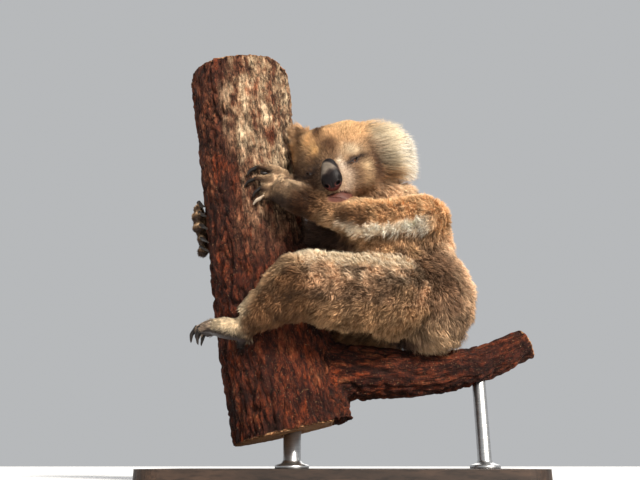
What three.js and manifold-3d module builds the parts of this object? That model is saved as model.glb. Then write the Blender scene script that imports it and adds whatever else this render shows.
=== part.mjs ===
// A life-size koala resting in the fork of a gum tree, held on a plain display stand.
// Millimetres, +Z up. The origin is the centre of the underside of the stand's base.
// The koala's belly faces the log, towards -X. Its left side is towards -Y, and so is its face.
// The solids reach out to the tips of the coat.

import * as THREE from 'three';
import { mergeVertices } from 'three/addons/utils/BufferGeometryUtils.js';
import Module from 'manifold-3d';

const wasm = await Module();
wasm.setup();

const point = (x, y, z) => new THREE.Vector3(x, y, z);
const { degToRad, lerp, clamp } = THREE.MathUtils;

// ---------------------------------------------------------------- driving dimensions

const GAP = 0.3;                 // clearance between neighbours that touch

const BASE = { width: 560, depth: 380, height: 22, corner: 40 };
const RODS = [                   // upright rods, set 12 mm into the base and a little way into the log
  { name: 'stand_rod_1', x: -74, y: 0, top: 96, radius: 14 },
  { name: 'stand_rod_2', x: 232, y: 15, top: 176, radius: 11 },
];
const ROD_FOOT = 10;             // height of a rod's lower end above the floor

const LOG = {
  axis: [point(-70, 0, 76), point(-119, 0, 290), point(-149, 0, 470), point(-183, 0, 722)],
  radii: [98, 91, 88, 94],
  depthShare: 0.94,              // a little flatter from front to back
};
const BRANCH = {
  axis: [point(-80, 0, 176), point(27, 0, 171), point(152, 8, 171), point(240, 16, 187), point(318, 21, 222)],
  radii: [62, 45, 38, 31, 27],
};

// Joints of the skeleton. The left limbs are towards -Y.
const ARMS = {
  left: { shoulder: point(142, -74, 408), elbow: point(44, -119, 390), wrist: point(-60, -112, 428) },
  right: { shoulder: point(70, 52, 436), elbow: point(-52, 116, 424), wrist: point(-182, 98, 430) },
};
const ARM_RADII = [49, 35, 26];
const LEGS = {
  left: { hip: point(92, -76, 283), knee: point(-56, -126, 287), ankle: point(-146, -118, 231) },
  right: { hip: point(92, 56, 283), knee: point(-48, 120, 292), ankle: point(-126, 118, 236) },
};
const LEG_RADII = [72, 53, 28];

const HEAD = {
  centre: point(1, -62, 502),
  pitch: degToRad(9),            // nose down
  roll: degToRad(-11),           // crown towards the log
  yaw: degToRad(-14),            // face turned towards the log
};
const EYE = { radius: 8.5, across: 33, forward: 54.5, up: -9, slant: degToRad(22) };

// ---------------------------------------------------------------- forms as distance fields
// A field gives a point's distance from a surface: negative inside, positive outside.

function ball(centre, radii, turn = new THREE.Euler()) {
  const unturn = new THREE.Matrix4().makeRotationFromEuler(turn).invert();
  const local = new THREE.Vector3();
  return (p) => {
    local.subVectors(p, centre).applyMatrix4(unturn).divide(radii);
    const share = local.length();
    const slope = local.divide(radii).length();
    return slope > 0 ? share * (share - 1) / slope : -Math.min(radii.x, radii.y, radii.z);
  };
}

function bone(from, to, fromRadius, toRadius) {
  const axis = new THREE.Line3(from, to);
  const nearest = new THREE.Vector3();
  return (p) => {
    const share = axis.closestPointToPointParameter(p, true);
    axis.at(share, nearest);
    return nearest.distanceTo(p) - lerp(fromRadius, toRadius, share);
  };
}

// The union of several fields, with soft hollows about `softness` wide where they meet.
function blend(softness, ...fields) {
  return (p) => fields.map((field) => field(p)).reduce((a, b) => {
    const overlap = Math.max(softness - Math.abs(a - b), 0) / softness;
    return Math.min(a, b) - overlap * overlap * softness / 4;
  });
}

// ---------------------------------------------------------------- solids

function solid(geometry) {
  const bare = geometry.clone();
  for (const name of Object.keys(bare.attributes)) {
    if (name !== 'position') bare.deleteAttribute(name);
  }
  const merged = mergeVertices(bare, 1e-3);
  const corners = merged.index.array;
  const kept = [];
  for (let i = 0; i < corners.length; i += 3) {
    const [a, b, c] = corners.subarray(i, i + 3);
    if (a !== b && b !== c && c !== a) kept.push(a, b, c);
  }
  return new wasm.Manifold(new wasm.Mesh({
    numProp: 3,
    vertProperties: merged.attributes.position.array,
    triVerts: new Uint32Array(kept),
  }));
}

// Moves each vertex of a geometry by a function that changes the vector it is given.
function reshape(geometry, move) {
  const position = geometry.attributes.position;
  const p = new THREE.Vector3();
  for (let i = 0; i < position.count; i++) {
    move(p.fromBufferAttribute(position, i));
    position.setXYZ(i, p.x, p.y, p.z);
  }
  return geometry;
}

// Distance from an inner point to the field's surface, along a direction.
function reach(field, start, direction, farthest) {
  const p = new THREE.Vector3();
  const step = 3;
  const inside = (t) => field(p.copy(start).addScaledVector(direction, t)) < 0;
  let far = step;
  while (far < farthest && inside(far)) far += step;
  let near = far - step;
  for (let i = 0; i < 14; i++) {
    const middle = (near + far) / 2;
    if (inside(middle)) near = middle;
    else far = middle;
  }
  return near;
}

// A closed skin round a field: a capsule about the line from..to, each vertex moved out along its own ray.
function wrap(field, from, to, { sides = 20, rings = 4, caps = 4, grow = 0, farthest = 220 } = {}) {
  const length = from.distanceTo(to);
  const along = new THREE.Vector3().subVectors(to, from).normalize();
  const turn = new THREE.Quaternion().setFromUnitVectors(point(0, 1, 0), along);
  const capsule = new THREE.CapsuleGeometry(1, length, caps, sides, rings);
  const direction = new THREE.Vector3();
  const start = new THREE.Vector3();
  return solid(reshape(capsule, (p) => {
    const height = clamp(p.y, -length / 2, length / 2);
    direction.set(p.x, p.y - height, p.z).normalize().applyQuaternion(turn);
    start.copy(from).addScaledVector(along, height + length / 2);
    p.copy(start).addScaledVector(direction, reach(field, start, direction, farthest) + grow);
  }));
}

// A smooth series of values read at a share from 0 to 1.
function series(values) {
  const curve = new THREE.CatmullRomCurve3(values.map((v, i) => point(i / (values.length - 1), v, 0)));
  return (share) => curve.getPoint(clamp(share, 0, 1)).y;
}

// A tapered round bar with rounded ends along a curve through a few points.
function bar(points, radii, { sides = 7, rings = 8, grow = 0 } = {}) {
  const curve = new THREE.CatmullRomCurve3(points, false, 'centripetal');
  const steps = 24;
  const frames = curve.computeFrenetFrames(steps, false);
  const radiusAt = series(radii);
  return solid(reshape(new THREE.SphereGeometry(1, sides, rings), (p) => {
    const share = clamp((1 - p.y) / 2, 0, 1);
    const sine = Math.hypot(p.x, p.z);
    const angle = Math.atan2(p.z, p.x);
    const radius = sine > 1e-6 ? radiusAt(share) * Math.sqrt(sine) + grow : 0;
    const frame = Math.round(share * steps);
    p.copy(curve.getPointAt(share))
      .addScaledVector(frames.tangents[frame], sine > 1e-6 ? 0 : grow * Math.sign(share - 0.5))
      .addScaledVector(frames.normals[frame], -Math.cos(angle) * radius)
      .addScaledVector(frames.binormals[frame], -Math.sin(angle) * radius);
  }));
}

const carve = (body, ...others) => others.reduce((left, other) => left.subtract(other), body);
const join = (first, ...others) => others.reduce((sum, other) => sum.add(other), first);

// Keeps what lies past a plane through `at`, on the side that `facing` points to.
function cut(body, at, facing) {
  const normal = facing.clone().normalize();
  return body.trimByPlane(normal.toArray(), at.dot(normal) + GAP / 2);
}

// The direction across the bend at a joint.
function bisector(before, joint, after) {
  const incoming = new THREE.Vector3().subVectors(joint, before).normalize();
  const outgoing = new THREE.Vector3().subVectors(after, joint).normalize();
  return incoming.add(outgoing).normalize();
}

// ---------------------------------------------------------------- stand

function makeRod({ x, y, top, radius }, grow = 0) {
  const height = top - ROD_FOOT + 2 * grow;
  const rod = new THREE.CylinderGeometry(radius + grow, radius + grow, height, 16);
  return solid(rod.rotateX(Math.PI / 2).translate(x, y, (top + ROD_FOOT) / 2));
}

function makeBase() {
  const { width, depth, height, corner } = BASE;
  const [w, d] = [width / 2 - corner, depth / 2 - corner];
  const outline = new THREE.Shape();
  outline.absarc(w, d, corner, 0, Math.PI / 2);
  outline.absarc(-w, d, corner, Math.PI / 2, Math.PI);
  outline.absarc(-w, -d, corner, Math.PI, 1.5 * Math.PI);
  outline.absarc(w, -d, corner, 1.5 * Math.PI, 2 * Math.PI);
  outline.closePath();
  return solid(new THREE.ExtrudeGeometry(outline, { depth: height, bevelEnabled: false, curveSegments: 4 }));
}

const rodSpaces = RODS.map((rod) => makeRod(rod, GAP));

// ---------------------------------------------------------------- the forked log

function makeTimber({ axis, radii, depthShare = 1 }, { sides, rings, ribs, grow = 0 }) {
  const curve = new THREE.CatmullRomCurve3(axis);
  const frames = curve.computeFrenetFrames(rings, false);
  const radiusAt = series(radii);
  const drum = new THREE.CylinderGeometry(1, 1, 1, sides, rings);
  return solid(reshape(drum, (p) => {
    const share = p.y + 0.5;
    const frame = Math.round(share * rings);
    const angle = Math.atan2(p.z, p.x);
    const bark = 1 + 0.02 * Math.sin(ribs * angle + 5 * share) + 0.015 * Math.sin(2 * angle - 7 * share);
    const radius = Math.hypot(p.x, p.z) * (radiusAt(share) * bark + grow);
    const end = Math.abs(p.y) > 0.499 ? grow * Math.sign(p.y) : 0;
    p.copy(curve.getPoint(share))
      .addScaledVector(frames.tangents[frame], end)
      .addScaledVector(frames.normals[frame], Math.cos(angle) * radius)
      .addScaledVector(frames.binormals[frame], -Math.sin(angle) * radius);
    p.y *= depthShare;
  }));
}

function makePerch(grow = 0) {
  const trunk = makeTimber(LOG, { sides: 22, rings: 9, ribs: 5, grow });
  const branch = makeTimber(BRANCH, { sides: 12, rings: 7, ribs: 3, grow });
  return trunk.add(branch);
}

const logCurve = new THREE.CatmullRomCurve3(LOG.axis);
const logRadius = series(LOG.radii);

// A point above the bark: degrees round the log from -Y towards +X, height, and lift off the surface.
function onLog(bearing, height, lift) {
  let [low, high] = [0, 1];
  for (let i = 0; i < 20; i++) {
    const middle = (low + high) / 2;
    if (logCurve.getPoint(middle).z < height) low = middle;
    else high = middle;
  }
  const angle = degToRad(bearing);
  const away = logRadius(low) + lift;
  const centre = logCurve.getPoint(low);
  return point(centre.x + Math.sin(angle) * away, -Math.cos(angle) * away * LOG.depthShare, height);
}

// ---------------------------------------------------------------- head, in its own upright frame

const headPose = new THREE.Matrix4().compose(
  HEAD.centre,
  new THREE.Quaternion().setFromEuler(new THREE.Euler(HEAD.pitch, HEAD.roll, HEAD.yaw, 'ZXY')),
  point(1, 1, 1),
);
const posed = (body) => body.transform(headPose.elements);

const skull = blend(
  22,
  ball(point(0, 8, 20), point(73, 68, 66)),                     // cranium
  ball(point(38, 2, 46), point(36, 44, 36)),                    // crown, broad between the ears
  ball(point(-34, 2, 46), point(36, 44, 38)),
  ball(point(0, -24, 22), point(58, 38, 46)),                   // forehead
  ball(point(45, -10, -19), point(37, 48, 38)),                 // cheeks
  ball(point(-45, -10, -19), point(37, 48, 38)),
  ball(point(24, -46, -31), point(27, 31, 27)),                 // sides of the muzzle
  ball(point(-24, -46, -31), point(27, 31, 27)),
  ball(point(0, -60, -24), point(23, 26, 26)),                  // bridge of the muzzle
  ball(point(0, -57, -58), point(23, 25, 17)),                  // chin
);
const makeSkull = (grow = 0) =>
  wrap(skull, point(0, -12, -4), point(0, -36, -18), { sides: 24, rings: 1, caps: 8, grow });

const nosePad = blend(
  12,
  ball(point(0, -83, -14), point(12, 7, 13)),
  ball(point(0, -88, -37), point(17, 10.5, 20)),
);
const makeNose = (grow = 0) =>
  wrap(nosePad, point(0, -84, -17), point(0, -87, -37), { sides: 12, rings: 2, caps: 3, grow });

const eyeCentre = (side) => point(side * EYE.across, -EYE.forward, EYE.up);

function makeEye(side, grow = 0) {
  const centre = eyeCentre(side);
  const globe = new THREE.SphereGeometry(EYE.radius + grow, 10, 6);
  return solid(globe.translate(centre.x, centre.y, centre.z));
}

// The opening between the lids, which slopes down towards the nose.
function makeLidGap(side) {
  const centre = eyeCentre(side).add(point(side * 2, -EYE.radius - 1, 0));
  const gap = new THREE.SphereGeometry(1, 10, 6).scale(10, 8, 3.5);
  gap.rotateY(-side * EYE.slant).translate(centre.x, centre.y, centre.z);
  return solid(gap);
}

// An ear is a thick round dish, and its long fringe makes up most of its outline.
function makeEar(centre, radii, turn, hollow, grow = 0) {
  const dish = wrap(ball(centre, radii, turn), centre, centre.clone().add(point(0, 0, 1)),
    { sides: 14, rings: 1, caps: 4, grow });
  const forward = point(0, -1, 0).applyEuler(turn);
  const scoop = new THREE.SphereGeometry(1, 10, 6).scale(radii.x * 0.62, hollow, radii.z * 0.58);
  scoop.applyMatrix4(new THREE.Matrix4().makeRotationFromEuler(turn));
  const mouth = centre.clone().addScaledVector(forward, radii.y);
  return dish.subtract(solid(scoop.translate(mouth.x, mouth.y, mouth.z)));
}

const EARS = {
  left: [point(98, 20, 5), point(47, 18, 55), new THREE.Euler(0.06, 0.2, 0.42), 13],
  right: [point(-46, 4, 84), point(36, 18, 38), new THREE.Euler(-0.1, -0.25, -0.6), 11],
};

// ---------------------------------------------------------------- body

const torso = blend(
  40,
  ball(point(150, -8, 289), point(86, 106, 90)),                // rump
  ball(point(72, -12, 338), point(108, 100, 92)),               // belly
  ball(point(88, -10, 408), point(94, 90, 72)),                 // chest
  ball(point(14, -12, 394), point(70, 70, 60)),                 // breast, against the log
  ball(point(138, -8, 408), point(56, 88, 66)),                 // withers
);
const makeTorso = (grow = 0) =>
  wrap(torso, point(125, -10, 310), point(98, -10, 400), { sides: 20, rings: 3, caps: 4, grow });

const WAIST = point(116, -10, 340);
const WAIST_FACING = point(-0.35, 0, 1);

const NAPE = point(106, -16, 436);
const THROAT = point(40, -38, 476);
const neck = bone(NAPE, THROAT, 64, 60);

// ---------------------------------------------------------------- limbs

// The two lengths of a limb, cut apart at its middle joint and cut off at its last one.
function makeLimb([root, middle, tip], [rootRadius, middleRadius, tipRadius], beyond, ...flesh) {
  const field = blend(
    18,
    bone(root, middle, rootRadius, middleRadius),
    bone(middle, tip, middleRadius, tipRadius),
    ...flesh,
  );
  const upperOf = (grow) => wrap(field, root, middle,
    { sides: 12, rings: 4, caps: 2, farthest: rootRadius * 1.4, grow });
  const lowerOf = (grow) => wrap(field, middle, tip,
    { sides: 12, rings: 4, caps: 2, farthest: middleRadius * 1.4, grow });
  const bend = bisector(root, middle, tip);
  const end = bisector(middle, tip, beyond);
  return {
    upper: cut(upperOf(0), middle, bend.clone().negate()),
    lower: cut(cut(lowerOf(0), middle, bend), tip, end.clone().negate()),
    space: join(upperOf(GAP), cut(lowerOf(GAP), tip, end.clone().negate())),
    end,
  };
}

// A paw: a palm, digits with a path and radii each, and claws that start inside the digits' tips.
function makePaw({ palm, digits, claws }, wrist, facing) {
  const bodyOf = (grow) => join(
    wrap(palm.field, palm.from, palm.to, { sides: 10, rings: 2, caps: 2, farthest: 60, grow }),
    ...digits.map(({ path, radii }) => bar(path, radii, { sides: 6, rings: 4, grow })),
  );
  return {
    body: cut(bodyOf(0), wrist, facing),
    space: bodyOf(GAP),
    claws: claws.map((path) => bar(path, [3.2, 3.6, 2.4, 0.5], { sides: 5, rings: 4 })),
  };
}

// Digits that follow the bark, as [bearing, height, lift] steps from knuckle to tip, and their claws.
const along = (steps) => steps.map((step) => onLog(...step));

const HANDS = {
  left: {
    palm: {
      field: blend(12,
        bone(point(-62, -111, 431), point(-92, -97, 447), 26, 20),
        bone(point(-80, -104, 452), point(-92, -92, 470), 18, 13)),
      from: point(-62, -110, 432),
      to: point(-90, -97, 456),
    },
    digits: [
      { path: along([[46, 470, 16], [36, 492, 15], [23, 500, 14], [11, 498, 10], [5, 492, 6]]), radii: [9, 8, 6.5] },
      { path: along([[44, 462, 18], [38, 488, 20], [28, 491, 20], [19, 490, 17]]), radii: [9, 8, 6.5] },
      { path: along([[42, 464, 16], [24, 476, 17], [10, 477, 12], [4, 473, 7]]), radii: [9, 8, 6.5] },
      { path: along([[42, 454, 18], [24, 461, 18], [13, 459, 13], [8, 455, 8]]), radii: [9, 8, 6.5] },
      { path: along([[42, 444, 16], [25, 446, 15], [14, 443, 11], [9, 441, 7]]), radii: [9, 7.5, 6] },
    ],
    claws: [
      along([[8, 496, 8], [2, 490, 7], [0, 482, 2]]),
      along([[21, 490, 18], [14, 487, 16], [11, 480, 9]]),
      along([[6, 475, 8], [-1, 470, 8], [-5, 464, 1]]),
      along([[10, 457, 10], [5, 451, 10], [3, 443, 2]]),
      along([[11, 442, 8], [5, 438, 8], [2, 432, 1]]),
    ],
  },
  right: {
    palm: {
      field: blend(12,
        bone(onLog(-152, 430, 20), onLog(-122, 430, 15), 25, 19),
        bone(onLog(-122, 434, 14), onLog(-92, 440, 8), 19, 16),
        bone(onLog(-122, 428, 14), onLog(-96, 420, 8), 18, 14)),
      from: onLog(-150, 430, 19),
      to: onLog(-108, 431, 11),
    },
    digits: [
      { path: along([[-112, 442, 10], [-98, 456, 12], [-84, 458, 11], [-70, 452, 6]]), radii: [10, 10, 7] },
      { path: along([[-106, 438, 12], [-94, 441, 16], [-82, 440, 14], [-69, 435, 6]]), radii: [10, 10, 7] },
      { path: along([[-106, 426, 12], [-94, 422, 16], [-82, 419, 14], [-69, 414, 6]]), radii: [10, 10, 7] },
      { path: along([[-112, 418, 10], [-98, 404, 11], [-85, 398, 11], [-71, 393, 6]]), radii: [10, 9, 7] },
      { path: along([[-116, 412, 8], [-102, 386, 12], [-88, 378, 13], [-73, 375, 6]]), radii: [11, 11, 7] },
    ],
    claws: [
      along([[-76, 457, 8], [-70, 454, 6], [-66, 448, 1]]),
      along([[-75, 439, 8], [-69, 436, 6], [-65, 430, 1]]),
      along([[-75, 417, 8], [-69, 413, 6], [-65, 407, 1]]),
      along([[-76, 393, 8], [-70, 389, 6], [-66, 383, 1]]),
      along([[-79, 379, 8], [-73, 375, 6], [-69, 369, 1]]),
    ],
  },
};

// A hind foot's toes point past the log, and its clawless inner toe grips downwards.
function footAt(ankle, side) {
  const at = (x, out, z) => point(ankle.x + x, ankle.y - side * out, ankle.z + z);
  return {
    palm: {
      field: blend(10,
        bone(at(18, 2, -13), at(-38, -1, -7), 19, 15),
        bone(at(12, -14, -14), at(-38, -20, -10), 17, 14)),
      from: at(8, -6, -13),
      to: at(-32, -10, -7),
    },
    digits: [
      { path: [at(-30, 0, -9), at(-52, -3, -8), at(-67, -7, -15)], radii: [11, 10.5, 8.5] },
      { path: [at(-30, -9, -7), at(-58, -13, -6), at(-75, -18, -13)], radii: [12, 11.5, 9] },
      { path: [at(-30, -18, -8), at(-56, -24, -8), at(-70, -29, -15)], radii: [10, 9.5, 8] },
      { path: [at(-30, -25, -10), at(-52, -33, -10), at(-65, -39, -17)], radii: [10, 9.5, 7.5] },
      { path: [at(0, -20, -12), at(-4, -32, -24), at(-6, -38, -38)], radii: [10, 9, 7.5] },
    ],
    claws: [
      [at(-64, -6, -12), at(-70, -8, -22), at(-66, -10, -34)],
      [at(-73, -17, -9), at(-80, -19, -17), at(-79, -21, -29)],
      [at(-67, -28, -11), at(-73, -30, -19), at(-72, -32, -28)],
      [at(-62, -38, -13), at(-68, -40, -21), at(-67, -42, -30)],
    ],
  };
}
const FEET = { left: footAt(LEGS.left.ankle, 1), right: footAt(LEGS.right.ankle, -1) };

// ---------------------------------------------------------------- assembly

const coat = (color) => new THREE.MeshStandardMaterial({ color, roughness: 0.95, metalness: 0 });
const BROWN_COAT = coat(0x8d7560);
const PALE_COAT = coat(0xc9b8a0);
const NOSE_SKIN = new THREE.MeshStandardMaterial({ color: 0x2b2627, roughness: 0.5, metalness: 0 });
const EYE_GLOSS = new THREE.MeshStandardMaterial({ color: 0x1c120c, roughness: 0.1, metalness: 0 });
const CLAW_HORN = new THREE.MeshStandardMaterial({ color: 0x1d1916, roughness: 0.4, metalness: 0 });
const BARK = new THREE.MeshStandardMaterial({ color: 0x6b4a38, roughness: 0.95, metalness: 0 });
const PLINTH = new THREE.MeshStandardMaterial({ color: 0x2e2b29, roughness: 0.5, metalness: 0 });
const STEEL = new THREE.MeshStandardMaterial({ color: 0x8f9194, roughness: 0.35, metalness: 1 });

const model = new THREE.Group();
const taken = [];                // the room of every piece placed so far, with the gap round it

// Adds a node, carved clear of the pieces placed before it.
function place(name, body, material) {
  const largest = carve(body, ...taken).decompose().sort((a, b) => b.volume() - a.volume())[0];
  const { vertProperties, numProp, triVerts } = largest.getMesh();
  const positions = new Float32Array((vertProperties.length / numProp) * 3);
  for (let i = 0; i < positions.length / 3; i++) {
    positions.set(vertProperties.subarray(i * numProp, i * numProp + 3), i * 3);
  }
  const geometry = new THREE.BufferGeometry();
  geometry.setAttribute('position', new THREE.BufferAttribute(positions, 3));
  geometry.setIndex(new THREE.BufferAttribute(triVerts, 1));
  geometry.computeVertexNormals();
  const mesh = new THREE.Mesh(geometry, material);
  mesh.name = name;
  model.add(mesh);
}

RODS.forEach((rod) => place(rod.name, makeRod(rod), STEEL));
taken.push(...rodSpaces);
place('stand_base', makeBase(), PLINTH);
place('perch', makePerch(), BARK);
taken.length = 0;
taken.push(makePerch(GAP));

for (const [side, sign] of [['left', 1], ['right', -1]]) {
  place(`eye_${side}`, posed(makeEye(sign)), EYE_GLOSS);
}
place('nose', posed(makeNose()), NOSE_SKIN);
taken.push(posed(join(makeEye(1, GAP), makeEye(-1, GAP), makeNose(GAP))));
place('head', posed(carve(makeSkull(), makeLidGap(1), makeLidGap(-1))), BROWN_COAT);
taken.push(posed(makeSkull(GAP)));
for (const [side, ear] of Object.entries(EARS)) {
  place(`ear_${side}`, posed(makeEar(...ear)), PALE_COAT);
  taken.push(posed(makeEar(...ear, GAP)));
}

const torsoBody = makeTorso();
place('chest', cut(torsoBody, WAIST, WAIST_FACING), BROWN_COAT);
place('rump', cut(torsoBody, WAIST, WAIST_FACING.clone().negate()), BROWN_COAT);
taken.push(makeTorso(GAP));

for (const side of ['left', 'right']) {
  const { hip, knee, ankle } = LEGS[side];
  const foot = FEET[side];
  const ham = hip.clone().lerp(knee, 0.6).add(point(0, 0, -10));
  const leg = makeLimb([hip, knee, ankle], LEG_RADII, foot.palm.to, ball(ham, point(66, 56, 62)));
  place(`thigh_${side}`, leg.upper, BROWN_COAT);
  place(`shank_${side}`, leg.lower, BROWN_COAT);
  taken.push(leg.space);
  const paw = makePaw(foot, ankle, leg.end);
  place(`foot_${side}`, paw.body, PALE_COAT);
  taken.push(paw.space);
  paw.claws.forEach((claw, i) => place(`claw_hind_${side}_${i + 2}`, claw, CLAW_HORN));
}
for (const side of ['left', 'right']) {
  const { shoulder, elbow, wrist } = ARMS[side];
  const hand = HANDS[side];
  const arm = makeLimb([shoulder, elbow, wrist], ARM_RADII, hand.palm.to);
  place(`upper_arm_${side}`, arm.upper, BROWN_COAT);
  place(`forearm_${side}`, arm.lower, BROWN_COAT);
  taken.push(arm.space);
  const paw = makePaw(hand, wrist, arm.end);
  place(`hand_${side}`, paw.body, PALE_COAT);
  taken.push(paw.space);
  paw.claws.forEach((claw, i) => place(`claw_fore_${side}_${i + 1}`, claw, CLAW_HORN));
}
place('neck', wrap(neck, NAPE, THROAT, { sides: 12, rings: 2, caps: 2, farthest: 90 }), BROWN_COAT);

export default model;
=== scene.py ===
# A life-size koala resting in the fork of a gum tree, on a plain display stand.
# Metres, +Z up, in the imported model's frame. The koala's left side and its face are towards -Y.
import math

import bpy
import numpy as np
from mathutils import Matrix, Vector
from mathutils.bvhtree import BVHTree
from mathutils.kdtree import KDTree


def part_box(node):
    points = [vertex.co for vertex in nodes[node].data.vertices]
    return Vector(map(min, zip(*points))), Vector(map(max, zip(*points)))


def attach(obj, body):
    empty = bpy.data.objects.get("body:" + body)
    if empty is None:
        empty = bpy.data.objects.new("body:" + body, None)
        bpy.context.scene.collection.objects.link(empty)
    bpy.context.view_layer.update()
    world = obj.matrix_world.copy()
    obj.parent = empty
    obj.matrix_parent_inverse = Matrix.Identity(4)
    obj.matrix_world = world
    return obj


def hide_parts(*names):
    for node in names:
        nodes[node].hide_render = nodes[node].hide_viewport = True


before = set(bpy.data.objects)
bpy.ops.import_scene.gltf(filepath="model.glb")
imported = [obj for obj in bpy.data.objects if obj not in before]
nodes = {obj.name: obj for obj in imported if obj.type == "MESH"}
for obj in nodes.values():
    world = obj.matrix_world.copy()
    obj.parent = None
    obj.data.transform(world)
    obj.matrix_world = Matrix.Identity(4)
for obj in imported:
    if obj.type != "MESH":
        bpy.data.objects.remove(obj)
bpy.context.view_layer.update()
SHARE = 1.0
rng = np.random.default_rng(11)
MM = 0.001
CAMERA_PLACE = (-0.030, -1.08735, 0.0256)
CAMERA_TILT = math.radians(19)  # looks up, as the photo does
BARK_SQUARE, SKIN_SQUARE = 0.0028, 0.0033  # mesh squares of the log and of the skin
OFF_BARK = 0.0012  # how far roots and tips of the coat stay off the bark
PATCHES = 310  # squares along each side of the OFBake map, one for each tuft

# ---------------------------------------------------------------- camera, lights and floor

scene = bpy.context.scene


def add(name, data):
    ob = bpy.data.objects.new(name, data)
    scene.collection.objects.link(ob)
    return ob


def add_camera():
    data = bpy.data.cameras.new("camera")
    data.sensor_width = 36
    data.lens = 36.96
    data.clip_start = 0.02
    camera = add("camera", data)
    camera.location = CAMERA_PLACE
    camera.rotation_euler = (math.radians(90) + CAMERA_TILT, 0, 0)
    scene.camera = camera


def add_light(name, place, spread, power, colour=(1, 1, 1)):
    """A distant lamp, as soft as its spread in degrees is wide."""
    data = bpy.data.lights.new(name, "SUN")
    data.angle = math.radians(spread)
    data.energy = power
    data.color = colour
    light = add(name, data)
    light.rotation_euler = Vector(place).to_track_quat("Z", "Y").to_euler()


def add_world():
    world = bpy.data.worlds.new("studio")
    world.use_nodes = True
    ground = world.node_tree.nodes["Background"]
    ground.inputs["Color"].default_value = (0.86, 0.88, 0.90, 1)
    ground.inputs["Strength"].default_value = 0.55
    scene.world = world
    scene.view_settings.view_transform = "Standard"


add_camera()
add_world()
add_light("key", (0.95, -1.5, 1.1), 12, 6.7, (1.0, 0.94, 0.85))
add_light("fill", (0.5, -1.7, 0.15), 70, 0.60, (1.0, 0.97, 0.94))
add_light("back", (0.5, 1.7, 1.2), 45, 1.0, (1.0, 0.97, 0.93))

# ---------------------------------------------------------------- numbers


def lin(rgb):
    """Linear light from display colours."""
    c = np.asarray(rgb, float)
    return np.where(c <= 0.04045, c / 12.92, ((c + 0.055) / 1.055) ** 2.4)


def smooth(low, high, x):
    t = np.clip((x - low) / (high - low), 0, 1)
    return t * t * (3 - 2 * t)


def unit(v):
    return v / (np.linalg.norm(v, axis=-1, keepdims=True) + 1e-12)


def norm(v):
    return np.linalg.norm(v, axis=-1)


def noise(p, size, seed=0):
    """Smooth noise, about -1 to 1, with lumps of that size."""
    p = np.asarray(p, float) / size + 17.3 * seed
    cell = np.floor(p).astype(np.int64)
    f = p - cell
    f = f * f * (3 - 2 * f)
    total = np.zeros(len(p))
    for corner in range(8):
        d = np.array([corner & 1, corner >> 1 & 1, corner >> 2 & 1])
        c = cell + d
        h = c[:, 0] * 374761393 + c[:, 1] * 668265263 + c[:, 2] * 1440662683 + seed * 974634777
        h = (h ^ (h >> 13)) * 1274126177
        h = (h ^ (h >> 16)) & 0xFFFF
        total += (h / 32767.5 - 1) * np.prod(np.where(d, f, 1 - f), axis=1)
    return total


# ---------------------------------------------------------------- meshes as arrays


def fetch(items, what, width, kind=float):
    """A mesh's own numbers as rows of that width."""
    values = np.empty(len(items) * (3 if what in ("co", "vertices") else 1), kind)
    items.foreach_get(what, values)
    return values.reshape(-1, width)


def arrays(ob):
    """A mesh's points and triangles, welded."""
    me = ob.data
    me.calc_loop_triangles()
    v, back = np.unique(np.round(fetch(me.vertices, "co", 3), 6), axis=0, return_inverse=True)
    t = back.reshape(-1)[fetch(me.loop_triangles, "vertices", 3, np.int64)]
    return v, t[(t[:, 0] != t[:, 1]) & (t[:, 1] != t[:, 2]) & (t[:, 2] != t[:, 0])]


def normals(v, faces):
    n = np.zeros_like(v)
    f = np.cross(v[faces[:, 1]] - v[faces[:, 0]], v[faces[:, 2]] - v[faces[:, 0]])
    for k in range(faces.shape[1]):
        for a in range(3):
            n[:, a] += np.bincount(faces[:, k], f[:, a], len(v))
    return unit(n)


def edges(faces):
    k = faces.shape[1]
    e = np.vstack([faces[:, [i, (i + 1) % k]] for i in range(k)])
    e.sort(axis=1)
    key = np.unique(e[:, 0] * (1 << 32) + e[:, 1])
    return np.stack([key >> 32, key & 0xFFFFFFFF], axis=1)


def relax(values, e, times, share=1.0):
    """Each point's values drawn towards the mean of its neighbours."""
    n = len(values)
    degree = np.maximum(np.bincount(e.ravel(), minlength=n), 1)
    out = np.array(values, float)
    for _ in range(times):
        for c in range(out.shape[1]):
            total = np.bincount(e[:, 0], out[e[:, 1], c], n) + np.bincount(e[:, 1], out[e[:, 0], c], n)
            out[:, c] += share * (total / degree - out[:, c])
    return out


def mesh_object(name, v, faces, material=None, is_smooth=True):
    me = bpy.data.meshes.new(name)
    k = faces.shape[1]
    me.vertices.add(len(v))
    me.vertices.foreach_set("co", np.asarray(v, np.float32).ravel())
    me.loops.add(faces.size)
    me.loops.foreach_set("vertex_index", faces.astype(np.int32).ravel())
    me.polygons.add(len(faces))
    me.polygons.foreach_set("loop_start", np.arange(0, faces.size, k, dtype=np.int32))
    me.polygons.foreach_set("use_smooth", np.full(len(faces), is_smooth))
    me.update(calc_edges=True)
    if material:
        me.materials.append(material)
    return add(name, me)


def put_colour(ob, name, rgb):
    rgba = np.ones((len(rgb), 4), np.float32)
    rgba[:, :3] = np.clip(rgb, 0, 1)
    ob.data.color_attributes.new(name, "FLOAT_COLOR", "POINT").data.foreach_set("color", rgba.ravel())


def put(ob, name, kind, what, values):
    values = np.asarray(values, np.float32).ravel()
    ob.data.attributes.new(name, kind, "POINT").data.foreach_set(what, values)


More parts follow.
